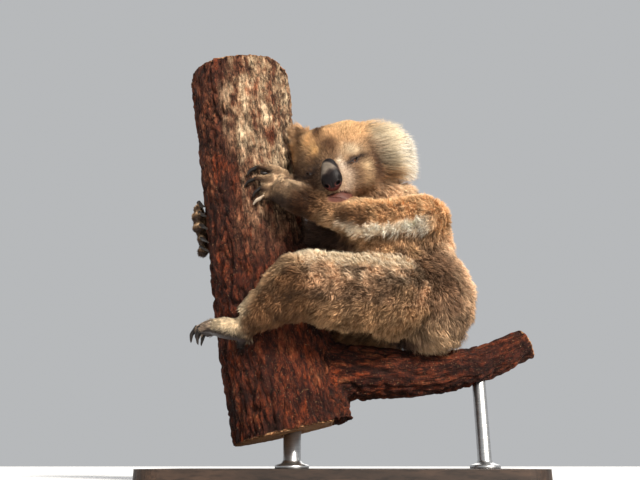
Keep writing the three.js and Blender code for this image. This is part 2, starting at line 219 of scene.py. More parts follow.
def remesh(v, t, size):
    """One closed skin of even squares round everything in the mesh."""
    ob = mesh_object("raw", v, t)
    modifier = ob.modifiers.new("remesh", "REMESH")
    modifier.mode = "VOXEL"
    modifier.voxel_size = size
    made = bpy.data.meshes.new_from_object(ob.evaluated_get(bpy.context.evaluated_depsgraph_get()))
    v, q = fetch(made.vertices, "co", 3), fetch(made.loops, "vertex_index", 4, np.int64)
    for used in (ob.data, made):
        bpy.data.meshes.remove(used)
    e = edges(q)
    label = np.arange(len(v))
    while True:  # only the largest piece is kept
        low = np.minimum(label[e[:, 0]], label[e[:, 1]])
        new = label.copy()
        np.minimum.at(new, e[:, 0], low)
        np.minimum.at(new, e[:, 1], low)
        new = new[new]
        if (new == label).all():
            break
        label = new
    kept = label == np.bincount(label).argmax()
    number = np.cumsum(kept) - 1
    return v[kept], number[q[kept[q[:, 0]]]]


def refine(v, t, extra, wanted):
    """Halves the edges whose middle is wanted, with no loose corners."""
    e = np.vstack([t[:, [0, 1]], t[:, [1, 2]], t[:, [2, 0]]])
    e.sort(axis=1)
    key, back = np.unique(e[:, 0] * (1 << 32) + e[:, 1], return_inverse=True)
    a, b = key >> 32, key & 0xFFFFFFFF
    middle = (v[a] + v[b]) / 2
    split = wanted(middle)
    new = np.full(len(key), -1)
    new[split] = len(v) + np.arange(split.sum())
    m = new[back.reshape(3, -1).T]
    count = (m >= 0).sum(1)
    out = [t[count == 0]]
    (p, q, r), (x, y, z) = t[count == 3].T, m[count == 3].T
    out += [np.stack(s, 1) for s in ((p, x, z), (x, q, y), (z, y, r), (x, y, z))]
    for times in (1, 2):
        chosen = count == times
        tt, mm = t[chosen], m[chosen]
        first = np.argmax(mm >= 0, 1) if times == 1 else (np.argmax(mm < 0, 1) + 1) % 3
        row = np.arange(len(tt))
        p, q, r = (tt[row, (first + i) % 3] for i in range(3))
        x, y = (mm[row, (first + i) % 3] for i in range(2))
        parts = ((p, x, r), (x, q, r)) if times == 1 else ((x, q, y), (p, x, y), (p, y, r))
        out += [np.stack(s, 1) for s in parts]
    extra = np.vstack([extra, (extra[a[split]] + extra[b[split]]) / 2])
    return np.vstack([v, middle[split]]), np.vstack(out), extra


def bvh(v, t):
    return BVHTree.FromPolygons(v.tolist(), t.tolist())


def nearest(tree, points):
    """Signed distance, nearest point, its normal and its face, for each point."""
    spot, normal = np.empty((len(points), 3)), np.empty((len(points), 3))
    face = np.empty(len(points), np.int64)
    for i, p in enumerate(points.tolist()):
        spot[i], normal[i], face[i], _ = tree.find_nearest(p)
    away = points - spot
    side = np.where((away * normal).sum(1) < 0, -1, 1)
    return side * norm(away), spot, normal, face


# ---------------------------------------------------------------- node materials


class Shader:
    """Builds a principled material from a few named kinds of node."""

    def __init__(self, name, **sockets):
        self.material = bpy.data.materials.new(name)
        self.material.use_nodes = True
        self.tree = self.material.node_tree
        self.bsdf = self.tree.nodes["Principled BSDF"]
        for socket, value in sockets.items():
            self.bsdf.inputs[socket.replace("_", " ")].default_value = value

    def node(self, kind, inputs=(), **settings):
        made = self.tree.nodes.new("ShaderNode" + kind)
        for key, value in settings.items():
            setattr(made, key, value)
        for key, value in dict(inputs).items():
            if isinstance(value, bpy.types.NodeSocket):
                self.tree.links.new(value, made.inputs[key])
            else:
                made.inputs[key].default_value = value
        return made

    def link(self, source, socket):
        self.tree.links.new(source, self.bsdf.inputs[socket])

    def attribute(self, name, output="Color"):
        return self.node("Attribute", attribute_name=name).outputs[output]

    def place(self, scale=(1, 1, 1), source=None):
        source = source or self.node("TexCoord").outputs["Object"]
        return self.node("Mapping", {"Vector": source, "Scale": scale}).outputs[0]

    def noise(self, vector, scale, detail=4, rough=0.6):
        return self.node("TexNoise", {"Vector": vector, "Scale": scale, "Detail": detail,
                                      "Roughness": rough}).outputs["Fac"]

    def ramp(self, factor, *stops):
        made = self.node("ValToRGB", {"Fac": factor})
        points = made.color_ramp.elements
        while len(points) < len(stops):
            points.new(0.5)
        for point, (where, colour) in zip(points, stops):
            point.position = where
            point.color = (*colour, 1)
        return made.outputs["Color"]

    def greys(self, factor, *stops):
        return self.ramp(factor, *((where, (value,) * 3) for where, value in stops))

    def paints(self, factor, *stops):
        return self.ramp(factor, *((where, lin(colour)) for where, colour in stops))

    def shade(self, colour, factor, *stops):
        """The colour times a grey that follows the factor."""
        return self.mix(1, colour, self.greys(factor, *stops), "MULTIPLY")

    def pores(self, scale, randomness=1.0):
        return self.node("TexVoronoi", {"Vector": self.place(), "Scale": scale,
                                        "Randomness": randomness}).outputs["Distance"]

    def rough(self, factor, low, high):
        scaled = self.node("MapRange", {"Value": factor, "To Min": low, "To Max": high})
        self.link(scaled.outputs[0], "Roughness")

    def mix(self, factor, a, b, blend="MIX"):
        made = self.tree.nodes.new("ShaderNodeMix")
        made.data_type = "RGBA"
        made.blend_type = blend
        for index, value in ((0, factor), (6, a), (7, b)):
            if isinstance(value, bpy.types.NodeSocket):
                self.tree.links.new(value, made.inputs[index])
            else:
                made.inputs[index].default_value = value if index == 0 else (*value, 1)
        return made.outputs[2]

    def maths(self, operation, a, b=0.0):
        return self.node("Math", {0: a, 1: b}, operation=operation).outputs[0]

    def bump(self, height, strength, distance):
        made = self.node("Bump", {"Height": height, "Strength": strength, "Distance": distance})
        self.link(made.outputs[0], "Normal")


def make_fur(name, sheen):
    """Tufts: their own colours, with fine strands along each one."""
    s = Shader(name, Roughness=0.85, Specular_IOR_Level=0.12, Sheen_Weight=sheen, Sheen_Roughness=0.45)
    strand = s.noise(s.place((2600, 130, 1), s.node("UVMap", uv_map="OFBake").outputs[0]), 1, 2)
    colour = s.shade(s.attribute("Coat"), strand, (0.25, 0.66), (0.72, 1.22))
    s.link(s.shade(colour, s.noise(s.place(), 46, 3), (0.3, 0.84), (0.7, 1.1)), "Base Color")
    s.bump(strand, 0.5, 0.0004)
    return s.material


def make_skin():
    """Hide and the nap next to it: the coat's own colours and painted light, darker, with short hair as bump.
    """
    s = Shader("hide", Roughness=0.72, Specular_IOR_Level=0.3)
    nap = s.noise(s.place(), 640, 4, 0.7)
    pores = s.pores(900.0)
    folds = s.noise(s.place((1, 1, 2.4)), 190, 3)
    bare = s.attribute("Bare", "Fac")
    s.link(s.shade(s.attribute("Coat"), s.mix(bare, nap, folds), (0.3, 0.72), (0.7, 1.15)), "Base Color")
    s.rough(bare, 0.85, 0.5)
    s.bump(s.mix(bare, nap, s.mix(0.5, pores, folds)), 0.7, 0.0008)
    return s.material


def make_nose_leather():
    s = Shader("nose_leather", Roughness=0.5, Specular_IOR_Level=0.16)
    worn = s.noise(s.place(), 160)
    s.link(s.shade(s.attribute("Coat"), worn, (0.3, 0.75), (0.7, 1.2)), "Base Color")
    s.rough(worn, 0.38, 0.6)
    s.bump(s.pores(780.0, 0.85), 0.35, 0.0005)
    return s.material


def make_eye_glass():
    s = Shader("eye_glass", Roughness=0.10, Specular_IOR_Level=0.5, Coat_Weight=0.6, Coat_Roughness=0.06)
    s.link(s.shade(s.attribute("Coat"), s.noise(s.place(), 700, 3), (0.3, 0.7), (0.7, 1.3)), "Base Color")
    return s.material


def make_claw_horn():
    s = Shader("claw_horn", Roughness=0.4, Specular_IOR_Level=0.3)
    growth = s.noise(s.place(), 420)
    s.link(s.shade(s.attribute("Coat"), growth, (0.3, 0.7), (0.75, 1.35)), "Base Color")
    s.bump(growth, 0.25, 0.0004)
    return s.material


def make_bark():
    """Stringy bark with its grain along the timber, and sawn ends with growth rings."""
    s = Shader("stringy_bark", Roughness=0.9, Specular_IOR_Level=0.2)
    grain = s.attribute("Grain", "Vector")
    facts = s.node("SeparateColor", {"Color": s.attribute("Bark")}).outputs
    furrow, sawn, weathering_and_sunlight = facts["Red"], facts["Green"], facts["Blue"]
    fibre = s.noise(s.place((1, 1, 0.6), grain), 300, 6, 0.74)
    crust = s.noise(s.place((1, 1, 0.75)), 135, 7, 0.78)
    patch = s.noise(s.place((1, 1, 1.2), grain), 40, 7, 0.74)
    split = s.maths("ABSOLUTE", s.maths("SUBTRACT", s.noise(s.place(source=grain), 78, 5, 0.62), 0.5))
    outer = s.paints(patch, (0.32, (0.30, 0.15, 0.09)), (0.42, (0.42, 0.27, 0.19)),
                     (0.50, (0.60, 0.48, 0.37)), (0.62, (0.80, 0.70, 0.57)))
    young = s.paints(patch, (0.34, (0.13, 0.045, 0.025)), (0.46, (0.25, 0.10, 0.055)),
                     (0.56, (0.37, 0.165, 0.085)), (0.68, (0.49, 0.29, 0.18)))
    rust = s.greys(s.noise(s.place((1, 1, 0.5)), 26), (0.56, 0), (0.66, 0.55))
    # pale weathered bark where lit, red bark elsewhere: partly weathering, partly painted sunlight and shade
    plate = s.mix(rust, s.mix(weathering_and_sunlight, young, outer), lin((0.56, 0.24, 0.10)))
    plate = s.shade(plate, fibre, (0.34, 0.38), (0.5, 0.95), (0.64, 1.45))
    plate = s.shade(plate, crust, (0.38, 0.36), (0.5, 0.95), (0.62, 1.4))
    # the cracks here and the furrows below are darkened: partly the bark's own colour, partly painted shade
    plate = s.shade(plate, split, (0.0, 0.22), (0.035, 0.8), (0.06, 1.0))
    specks = s.greys(s.noise(s.place((1, 1, 0.6)), 520, 3), (0.64, 0), (0.70, 0.5))
    plate = s.mix(specks, plate, lin((0.72, 0.58, 0.42)))
    deep = s.mix(s.maths("MULTIPLY", furrow, 0.85), plate, lin((0.13, 0.06, 0.04)))
    centre = s.place((1, 1, 0), grain)
    rings = s.node("TexWave", {"Vector": centre, "Scale": 95.0, "Distortion": 2.2, "Detail": 3.0,
                               "Detail Scale": 1.3}, wave_type="RINGS", rings_direction="Z").outputs["Fac"]
    wood = s.paints(rings, (0.1, (0.80, 0.62, 0.44)), (0.8, (0.62, 0.41, 0.27)))
    s.link(s.mix(sawn, deep, s.shade(wood, s.noise(centre, 60, 3), (0.3, 0.7), (0.7, 1.15))), "Base Color")
    rough = s.maths("ADD", s.maths("MULTIPLY", fibre, 0.6), s.maths("MULTIPLY", crust, 0.9))
    rough = s.maths("ADD", rough, s.greys(split, (0.0, 0), (0.05, 0.35)))
    s.bump(s.mix(sawn, rough, s.maths("MULTIPLY", rings, 0.35)), 1.0, 0.0035)
    return s.material


def make_lacquer():
    s = Shader("stained_timber", Roughness=0.5, Specular_IOR_Level=0.25, Coat_Weight=0.08,
               Coat_Roughness=0.45)
    grain = s.noise(s.place((1.2, 16, 5)), 9, 6, 0.62)
    pores = s.noise(s.place((10, 260, 60)), 6, 2)
    colour = s.paints(grain, (0.3, (0.10, 0.075, 0.06)), (0.55, (0.19, 0.14, 0.11)),
                      (0.75, (0.27, 0.20, 0.155)))
    s.link(s.shade(colour, pores, (0.36, 0.6), (0.5, 1)), "Base Color")
    s.rough(grain, 0.46, 0.62)
    s.bump(pores, 0.12, 0.0004)
    return s.material


def make_steel():
    s = Shader("brushed_steel", Metallic=1.0, Roughness=0.3)
    lines = s.noise(s.place((60, 60, 1500)), 1.0, 3)
    s.link(s.greys(lines, (0.3, 0.42), (0.7, 0.62)), "Base Color")
    s.rough(lines, 0.24, 0.4)
    s.bump(lines, 0.08, 0.0002)
    return s.material


def make_floor():
    s = Shader("pale_floor", Roughness=0.8, Specular_IOR_Level=0.2)
    s.link(s.greys(s.noise(s.place(), 3, 3), (0.3, 0.70), (0.7, 0.74)), "Base Color")
    return s.material


# ---------------------------------------------------------------- floor and stand


def ring_faces(rows, sides):
    """Triangles between rings of points, each ring counted after the one before."""
    f = []
    for k in range(rows - 1):
        i, j = k * sides + np.arange(sides), k * sides + (np.arange(sides) + 1) % sides
        f += [np.stack([i, i + sides, j + sides], 1), np.stack([i, j + sides, j], 1)]
    return np.vstack(f)


def turns(sides):
    return np.linspace(0, 2 * math.pi, sides + 1)[:-1]


def ball(rows, sides, pinch=0.0):
    """Directions over a ball in rings, from +Z to -Z."""
    b = np.linspace(pinch, math.pi - pinch, rows)
    a = turns(sides)
    return np.stack([np.outer(np.sin(b), np.cos(a)), np.outer(np.sin(b), np.sin(a)),
                     np.outer(np.cos(b), np.ones(sides))], -1).reshape(-1, 3)


def closed_faces(rows, sides):
    """The same rings with both ends closed."""
    f = [ring_faces(rows, sides)]
    for start, flip in ((0, False), ((rows - 1) * sides, True)):
        ring = start + np.arange(sides)
        fan = np.stack([np.full(sides - 2, ring[0]), ring[1:-1], ring[2:]], 1)
        f.append(fan[:, ::-1] if flip else fan)
    return np.vstack(f)


def add_floor():
    sides, radii = 96, (0.5, 2, 8, 30, 60)
    turn = turns(sides)
    circle = np.stack([np.cos(turn), np.sin(turn), turn * 0], 1)
    v = np.vstack([[(0, 0, 0)]] + [circle * r for r in radii])
    v[:, 2] = -0.0005
    middle = np.stack([turn * 0, 1 + np.arange(sides), 1 + (np.arange(sides) + 1) % sides], 1).astype(int)
    floor = mesh_object("floor", v, np.vstack([middle, 1 + ring_faces(len(radii), sides)]), make_floor())


def lathe(name, centre, profile, material, sides=56):
    """A turned piece from (radius, height) steps, from the lower axis point to the upper one."""
    turn = turns(sides)
    v = np.vstack([np.stack([centre[0] + r * np.cos(turn), centre[1] + r * np.sin(turn), turn * 0 + z], 1)
                   for r, z in profile])
    f = []
    for k in range(len(profile) - 1):
        a, b = k * sides + np.arange(sides), k * sides + (np.arange(sides) + 1) % sides
        f.append(np.stack([a, b, b + sides, a + sides], 1))
    return mesh_object(name, v, np.vstack(f), material)


def dress_stand():
    base = nodes["stand_base"]
    base.data.materials.clear()
    base.data.materials.append(make_lacquer())
    edge = base.modifiers.new("edge", "BEVEL")
    edge.width = 0.0035
    edge.segments = 3
    edge.limit_method = "ANGLE"
    edge.angle_limit = math.radians(50)
    steel = make_steel()
    for name in ("stand_rod_1", "stand_rod_2"):
        low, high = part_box(name)
        centre = (low + high) / 2
        r = (high.x - low.x) / 2
        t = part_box("stand_base")[1].z
        flange = [(r + out, t + up) for out, up in (
            (0, -0.002), (0.012, -0.001), (0.013, 0.001), (0.013, 0.004), (0.012, 0.0055), (0.006, 0.007),
            (0.002, 0.009), (0, 0.013))]
        profile = [(r * 0.2, low.z), (r, low.z + 0.001), *flange,
                   (r, high.z - 0.003), (r * 0.9, high.z - 0.001), (r * 0.2, high.z)]
        rod = lathe(name + "_steel", centre, profile, steel)
        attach(rod, "root")
        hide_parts(name)


# ---------------------------------------------------------------- the forked log

LOG_AXIS = np.array([(-70, 0, 76), (-119, 0, 290), (-149, 0, 470), (-183, 0, 722)]) * MM
BRANCH_AXIS = np.array([(-80, 0, 176), (27, 0, 171), (152, 8, 171), (240, 16, 187), (318, 21, 222)]) * MM
GRAIN_STRETCH = 0.32


def timber_place(v):
    """Where each point lies in its straightened timber: across, across, and along, pressed short."""
    along = v[:, 2]
    trunk = np.stack([v[:, 0] - np.interp(along, LOG_AXIS[:, 2], LOG_AXIS[:, 0]), v[:, 1],
                      along * GRAIN_STRETCH], 1)
    along = v[:, 0]
    limb = np.stack([v[:, 1] - np.interp(along, BRANCH_AXIS[:, 0], BRANCH_AXIS[:, 1]),
                     v[:, 2] - np.interp(along, BRANCH_AXIS[:, 0], BRANCH_AXIS[:, 2]),
                     along * GRAIN_STRETCH + 1], 1)
    on_limb = (np.hypot(trunk[:, 0], trunk[:, 1]) > 0.095 + 0.004 * noise(v, 0.02, 5)) \
        & (np.hypot(limb[:, 0], limb[:, 1]) < 0.078) & (v[:, 0] > -0.02)
    return np.where(on_limb[:, None], limb, trunk), on_limb


def furrows(g):
    """How deep the bark's furrows are, from 0 on the plates to 1 at the bottom."""
    warped = g + 0.006 * np.stack([noise(g, 0.018, k) for k in (31, 32, 33)], 1) * (1, 1, 0.8)
    warped += 0.0025 * np.stack([noise(g, 0.006, k) for k in (34, 35, 36)], 1)
    wide = 1 - smooth(0.03, 0.30, np.abs(noise(warped, 0.0150, 41)))
    fine = 1 - smooth(0.0, 0.40, np.abs(noise(warped, 0.0066, 42)))
    cross = 1 - smooth(0.0, 0.18, np.abs(noise(warped * (1, 1, 2.2), 0.017, 48)))
    cross *= smooth(-0.2, 0.3, noise(g, 0.03, 49))
    strength = smooth(-0.4, 0.4, noise(g, 0.05, 43))
    return np.maximum(wide * (0.35 + 0.65 * strength), 0.65 * cross), fine


def dress_perch():
    v, t = arrays(nodes["perch"])
    tree = bvh(v, t)
    face_normal = unit(np.cross(v[t[:, 1]] - v[t[:, 0]], v[t[:, 2]] - v[t[:, 0]]))
    v, q = remesh(v, t, BARK_SQUARE)
    e = edges(q)
    v = relax(v, e, 2, 0.6)
    n = normals(v, q)
    _, _, _, face = nearest(tree, v)
    flat = face_normal[face]
    sawn = ((flat[:, 2] > 0.75) & (v[:, 2] > 0.70)) | ((flat[:, 2] < -0.75) & (v[:, 2] < 0.09)) \
        | ((flat[:, 0] > 0.7) & (v[:, 0] > 0.29))
    sawn = relax(sawn[:, None].astype(float), e, 1)[:, 0]
    g, on_limb = timber_place(v)
    wide, fine = furrows(g)
    flakes = noise(g * (1, 1, 2.2), 0.0085, 44)
    shreds = noise(g * (1, 1, 0.9), 0.0050, 50)
    lumps = noise(g, 0.045, 45)
    depth = 0.0052 * wide + 0.0024 * fine + 0.0024 * flakes + 0.0016 * shreds + 0.0022 * (lumps + 0.3)
    depth = np.where(on_limb, 0.8, 1.0) * depth
    v = v - n * ((1 - sawn) * np.maximum(depth, -0.0022) + sawn * 0.0004 * noise(v, 0.004, 46))[:, None]
    perch = mesh_object("perch_bark", v, q, make_bark())
    # pale weathered bark high up on the side facing right, dark red bark lower down and round the far side:
    # partly weathering, partly painted sunlight and shade
    sunny = smooth(0.2, 0.7, n @ (0.86, -0.5, 0) + 0.35 * noise(g, 0.04, 47))
    high_up = smooth(0.30, 0.50, v[:, 2] + 0.07 * noise(g, 0.06, 47))
    weathering_and_sunlight = high_up * (1 - 0.8 * on_limb) * (0.05 + 0.95 * sunny)
    furrow = np.clip(0.95 * wide + 0.35 * fine * (1 - wide), 0, 1)
    put_colour(perch, "Bark", np.stack([furrow, smooth(0.4, 0.8, sawn), weathering_and_sunlight], 1))
    put(perch, "Grain", "FLOAT_VECTOR", "vector", g)
    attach(perch, "root")
    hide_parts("perch")
    return tree


# ---------------------------------------------------------------- the head's own frame, in millimetres

HEAD_CENTRE = np.array([0.001, -0.062, 0.502])
HEAD_TURN = np.array(Matrix.Rotation(math.radians(-14), 3, "Z") @ Matrix.Rotation(math.radians(9), 3, "X")
                     @ Matrix.Rotation(math.radians(-11), 3, "Y"))
EYE_RADIUS = 8.5
EYE_PLACE = {side: np.array([side * 33.0, -54.5, -9.0]) for side in (1, -1)}
EYE_FACING = {side: unit(np.array([side * 0.46, -0.88, 0.06])) for side in (1, -1)}
EYE_SLANT = math.radians(29)
SLIT = {1: (10.5, 1.5), -1: (8.0, 1.2)}  # half length and half height of the opening
NOSE_TIP = np.array([0.0, -92.0, -24.0])


def to_head(v):
    return (v - HEAD_CENTRE) @ HEAD_TURN / MM


def from_head(local):
    return local * MM @ HEAD_TURN.T + HEAD_CENTRE


def eye_coordinates(local, side):
    """Along the slit, across it, and out along the eye's axis."""
    out = EYE_FACING[side]
    inward = np.array([-side * math.cos(EYE_SLANT), 0, -math.sin(EYE_SLANT)])
    along = -unit(inward - out * inward.dot(out))
    across = np.cross(out, along) * (1 if np.cross(out, along)[2] > 0 else -1)
    q = local - EYE_PLACE[side]
    return q @ along, q @ across, q @ out


def eye_slit(along, across, side):
    """Distance across from the slit's line, and the opening's half height there."""
    half, height = SLIT[side]
    line = -0.6 - 1.5 * (1 - (along / half) ** 2)
    return across - line, height * np.sqrt(np.clip(1 - (along / half) ** 2, 0, 1))


# ---------------------------------------------------------------- flesh and its coat, region by region

#            coat's depth, tuft length, tuft width (mm), tufts per square centimetre
REGIONS = {
    "head": (7.0, 11, 1.0, 90),
    "ear": (0.0, 26, 1.1, 60),
    "neck": (12, 17, 1.5, 42),
    "chest": (13, 16.5, 1.6, 42),
    "rump": (13, 16.5, 1.6, 42),
    "thigh": (12.5, 15.5, 1.5, 48),
    "shank": (9, 14, 1.4, 52),
    "foot": (2.4, 8.5, 1.0, 120),
    "upper_arm": (11, 15, 1.5, 48),
    "forearm": (8.5, 13.5, 1.4, 54),
    "hand": (1.4, 6.5, 1.0, 110),
}
SHOULDER = {"left": (142, -74, 408), "right": (70, 52, 436)}
ELBOW = {"left": (44, -119, 390), "right": (-52, 116, 424)}
WRIST = {"left": (-60, -112, 428), "right": (-182, 98, 430)}
HIP = {"left": (92, -76, 283), "right": (92, 56, 283)}
KNEE = {"left": (-56, -126, 287), "right": (-48, 120, 292)}
ANKLE = {"left": (-146, -118, 231), "right": (-126, 118, 236)}
FLESH = sorted(n for n in nodes if n.startswith(
    ("head", "ear_", "neck", "chest", "rump", "thigh", "shank", "foot", "upper_arm", "forearm", "hand")))
# centre, radii of the fringe's outline, turn, and where its hair sprays from (a share of the radii)
EARS = {
    "left": (np.array([96.0, 19.5, 14]), np.array([47.0, 18, 55]), (0.06, 0.2, 0.42), (-2.0, 0.4)),
    "right": (np.array([-46.0, 4, 84]), np.array([36.0, 18, 38]), (-0.1, -0.25, -0.6), (0.6, -1.4)),
}


def fringe_outline(name, q):
    """Below 1 inside the fringe's outline: on the left a slanting one whose corners are only half rounded."""
    if name == "left":
        x, z = q[:, 0] - 0.06 + 0.08 * q[:, 2], q[:, 2] - 0.06 + 0.18 * q[:, 0]
        return ((x / 0.92) ** 4 + (z / 0.90) ** 4) ** 0.25
    return (np.abs(q[:, 0]) ** 2.6 + np.abs(q[:, 2]) ** 2.6) ** (1 / 2.6)


def region_of(name):
    return name if name in REGIONS else name.rsplit("_", 1)[0]


def ear_turn(side):
    x, y, z = EARS[side][2]
    return np.array(Matrix.Rotation(x, 3, "X") @ Matrix.Rotation(y, 3, "Y") @ Matrix.Rotation(z, 3, "Z"))


def ear_flesh(side):
    """A thin dish inside the ear's fringe, rooted in the head."""
    centre, radii, _, _ = EARS[side]
    x, z, y = ball(25, 48).T
    disc = np.hypot(x, z)
    high = 0.66 if side == "left" else 0.60
    v = np.stack([x * radii[0] * 0.60, y * 4.2 - 9 * disc ** 2 + 3, (z * high - 0.10 * x) * radii[2]], 1)
    root = centre + unit(-centre * (1, 0.3, 1)) * 15
    return from_head(v @ ear_turn(side).T + root), ring_faces(25, 48)


def face_depth(local):
    """The coat's depth over the head, thinner on the face and next to nothing round the nose."""
    x, y, z = local.T
    muzzle = smooth(-50, -66, y) * smooth(40, 26, np.abs(x)) * smooth(6, -8, z)
    nose = smooth(26, 15, norm((local - (0, -88, -31)) * (1, 0.6, 0.75)))
    depth = 7.2 - 4.6 * muzzle
    for side in (1, -1):
        depth = np.minimum(depth, 3.0 + 4.2 * smooth(9, 24, norm(local - EYE_PLACE[side])))
    return depth * (1 - nose) + 1.0 * nose


def build_skin():
    """One closed skin for all the flesh, lying inside the solids by the coat's depth."""
    vs, ts, owner = [], [], []
    for k, name in enumerate(FLESH):
        if name.startswith("ear_"):
            v, t = ear_flesh(name[4:])
        else:
            v, t = arrays(nodes[name])
            v = v + normals(v, t) * 0.0006
        ts.append(t + sum(len(a) for a in vs))
        vs.append(v)
        owner.append(np.full(len(t), k))
    raw, t, owner = np.vstack(vs), np.vstack(ts), np.concatenate(owner)
    v, q = remesh(raw, t, SKIN_SQUARE)
    _, _, _, face = nearest(bvh(raw, t), v)
    weights = np.zeros((len(v), len(FLESH)))
    weights[np.arange(len(v)), owner[face]] = 1
    e = edges(q)
    paw = relax(weights[:, [region_of(f) in ("hand", "foot") for f in FLESH]].sum(1)[:, None], e, 3)
    ears = weights[:, [f.startswith("ear") for f in FLESH]].sum(1)[:, None]
    weights = relax(weights, e, 14)
    depth = weights @ np.array([REGIONS[region_of(n)][0] for n in FLESH])
    on_head = weights[:, FLESH.index("head")]
    depth = (depth - on_head * REGIONS["head"][0]) + on_head * face_depth(to_head(v))
    firm = np.maximum(paw, ears)
    v = v + (relax(v, e, 3, 0.6) - v) * (1 - 0.85 * firm)
    depth = relax(depth[:, None], e, 4) * (1 - ears) - 0.3 * paw
    n = unit(relax(normals(v, q), e, 3))
    v = v - n * depth * MM
    steady = np.maximum(smooth(0.0, 0.5, on_head)[:, None], firm)  # folds between limbs are eased
    v = steady * v + (1 - steady) * relax(v, e, 3, 0.5)
    t = np.vstack([q[:, [0, 1, 2]], q[:, [0, 2, 3]]])

    def near_face(reach, eyes):
        def wanted(p):
            local = to_head(p)
            close = norm((local - (2, -80, -36)) * (1, 0.7, 0.9)) < reach
            for side in (1, -1):
                close |= norm(local - EYE_PLACE[side] - 6 * EYE_FACING[side]) < eyes
            return close
        return wanted

    v, t, weights = refine(v, t, weights, near_face(42, 24))
    v, t, weights = refine(v, t, weights, near_face(31, 16))
    v, t, weights = refine(v, t, weights, near_face(0, 12.5))
    e = edges(t)
    ease = (to_head(v)[:, 1] < -30)[:, None] * 1.0
    v = v + ease * (relax(v, e, 3, 0.5) - v)
    return v, t, weights


def nose_field(p):
    """About how far a point of the head's frame is outside the nose's pad."""
    def ball(centre, radii):
        q = (p - centre) / radii
        share = norm(q)
        return share * (share - 1) / (norm(q / radii) + 1e-9)
    a, b = ball((0, -83, -14), (12.0, 7, 13)), ball((0, -88, -37), (17.0, 10.5, 20))
    overlap = np.clip(12 - np.abs(a - b), 0, None) / 12
    return np.minimum(a, b) - overlap ** 2 * 3


def model_face(v, t, on_head):
    """Lids, the folds round them, the mouth and the lip. Returns the points and how bare each one is."""
    local = to_head(v)
    bare = np.zeros(len(v))
    tint = np.zeros((len(v), 4))  # a colour and how much of it, for bare skin
    for side in (1, -1):
        along, across, out = eye_coordinates(local, side)
        near = (np.hypot(along, across) < 17) & (out > -3) & (on_head > 0.3)
        a, b, c = along[near], across[near], out[near]
        rho = np.hypot(a, b)
        lid = np.sqrt(np.clip((EYE_RADIUS + 1.3) ** 2 - rho ** 2, 0, None)) - 9 * smooth(7.6, 9.8, rho)
        k = 3.5
        overlap = np.clip(k - np.abs(lid - c), 0, k) / k
        new = np.where(rho < 9.8, np.maximum(lid, c) + overlap ** 2 * k / 4, c)
        offset, half = eye_slit(a, b, side)
        edge = np.abs(offset) - half
        within = np.abs(a) < SLIT[side][0]
        new += 0.55 * np.exp(-((edge - 0.9) / 0.9) ** 2) * within  # rim of the lid
        new -= 0.9 * np.exp(-((np.abs(offset - 4.2) / 0.9) ** 2)) * smooth(12, 6, np.abs(a))  # fold above
        new -= 0.6 * np.exp(-((np.abs(offset + 4.0) / 0.9) ** 2)) * smooth(12, 6, np.abs(a))  # fold below
        sunk = np.sqrt(np.clip((EYE_RADIUS - 1.6) ** 2 - rho ** 2, 0, None))
        opening = smooth(0.45, -0.25, edge) * within
        new = new * (1 - opening) + np.minimum(sunk, new - 1.5) * opening
        local[near] += (new - c)[:, None] * EYE_FACING[side]
        hide = smooth(9.5, 5.5, np.hypot(a * 0.8, offset * 1.5))
        bare[near] = np.maximum(bare[near], hide)
        rim = smooth(2.4, 0.5, edge) * (np.abs(a) < SLIT[side][0] + 1)
        tint[near] = np.where((hide > tint[near, 3])[:, None],
                              np.concatenate([np.array([0.25, 0.17, 0.13]) * (1 - 0.62 * rim[:, None]),
                                              hide[:, None]], 1), tint[near])
    x, y, z = local.T
    front = smooth(-58, -70, y) * (on_head > 0.2)
    # the mouth: a groove under the nose that runs back and down on both sides, and a full lower lip
    line = -58.0 - 0.010 * x ** 2
    reach = smooth(30, 20, np.abs(x))
    groove = np.exp(-((z - line) / 1.5) ** 2) * reach * front
    lip = np.exp(-((z - (line - 7.5)) / 5.0) ** 2) * smooth(24, 12, np.abs(x - 5)) * front
    cleft = np.exp(-(x / 1.1) ** 2) * smooth(-60, -57, z) * smooth(-52, -54, z) * front
    local[:, 1] += 2.8 * groove - 2.2 * lip + 1.2 * cleft
    pink = 0.97 * smooth(1.15, 0.8, np.hypot((x - 5) / 19, (z + 66) / 10)) * smooth(-50, -62, y)
    near_nose = smooth(2.6, 0.8, nose_field(local)) * front
    # the lip's pink is dark: pink skin with painted shade under the nose
    for amount, colour in ((near_nose, (0.30, 0.23, 0.20)), (pink, (0.30, 0.14, 0.095)),
                           (groove, (0.16, 0.08, 0.07))):
        stronger = amount > tint[:, 3]
        tint[stronger, :3] = colour
        tint[:, 3] = np.maximum(tint[:, 3], amount)
        bare = np.maximum(bare, amount)
    return from_head(local), bare, tint


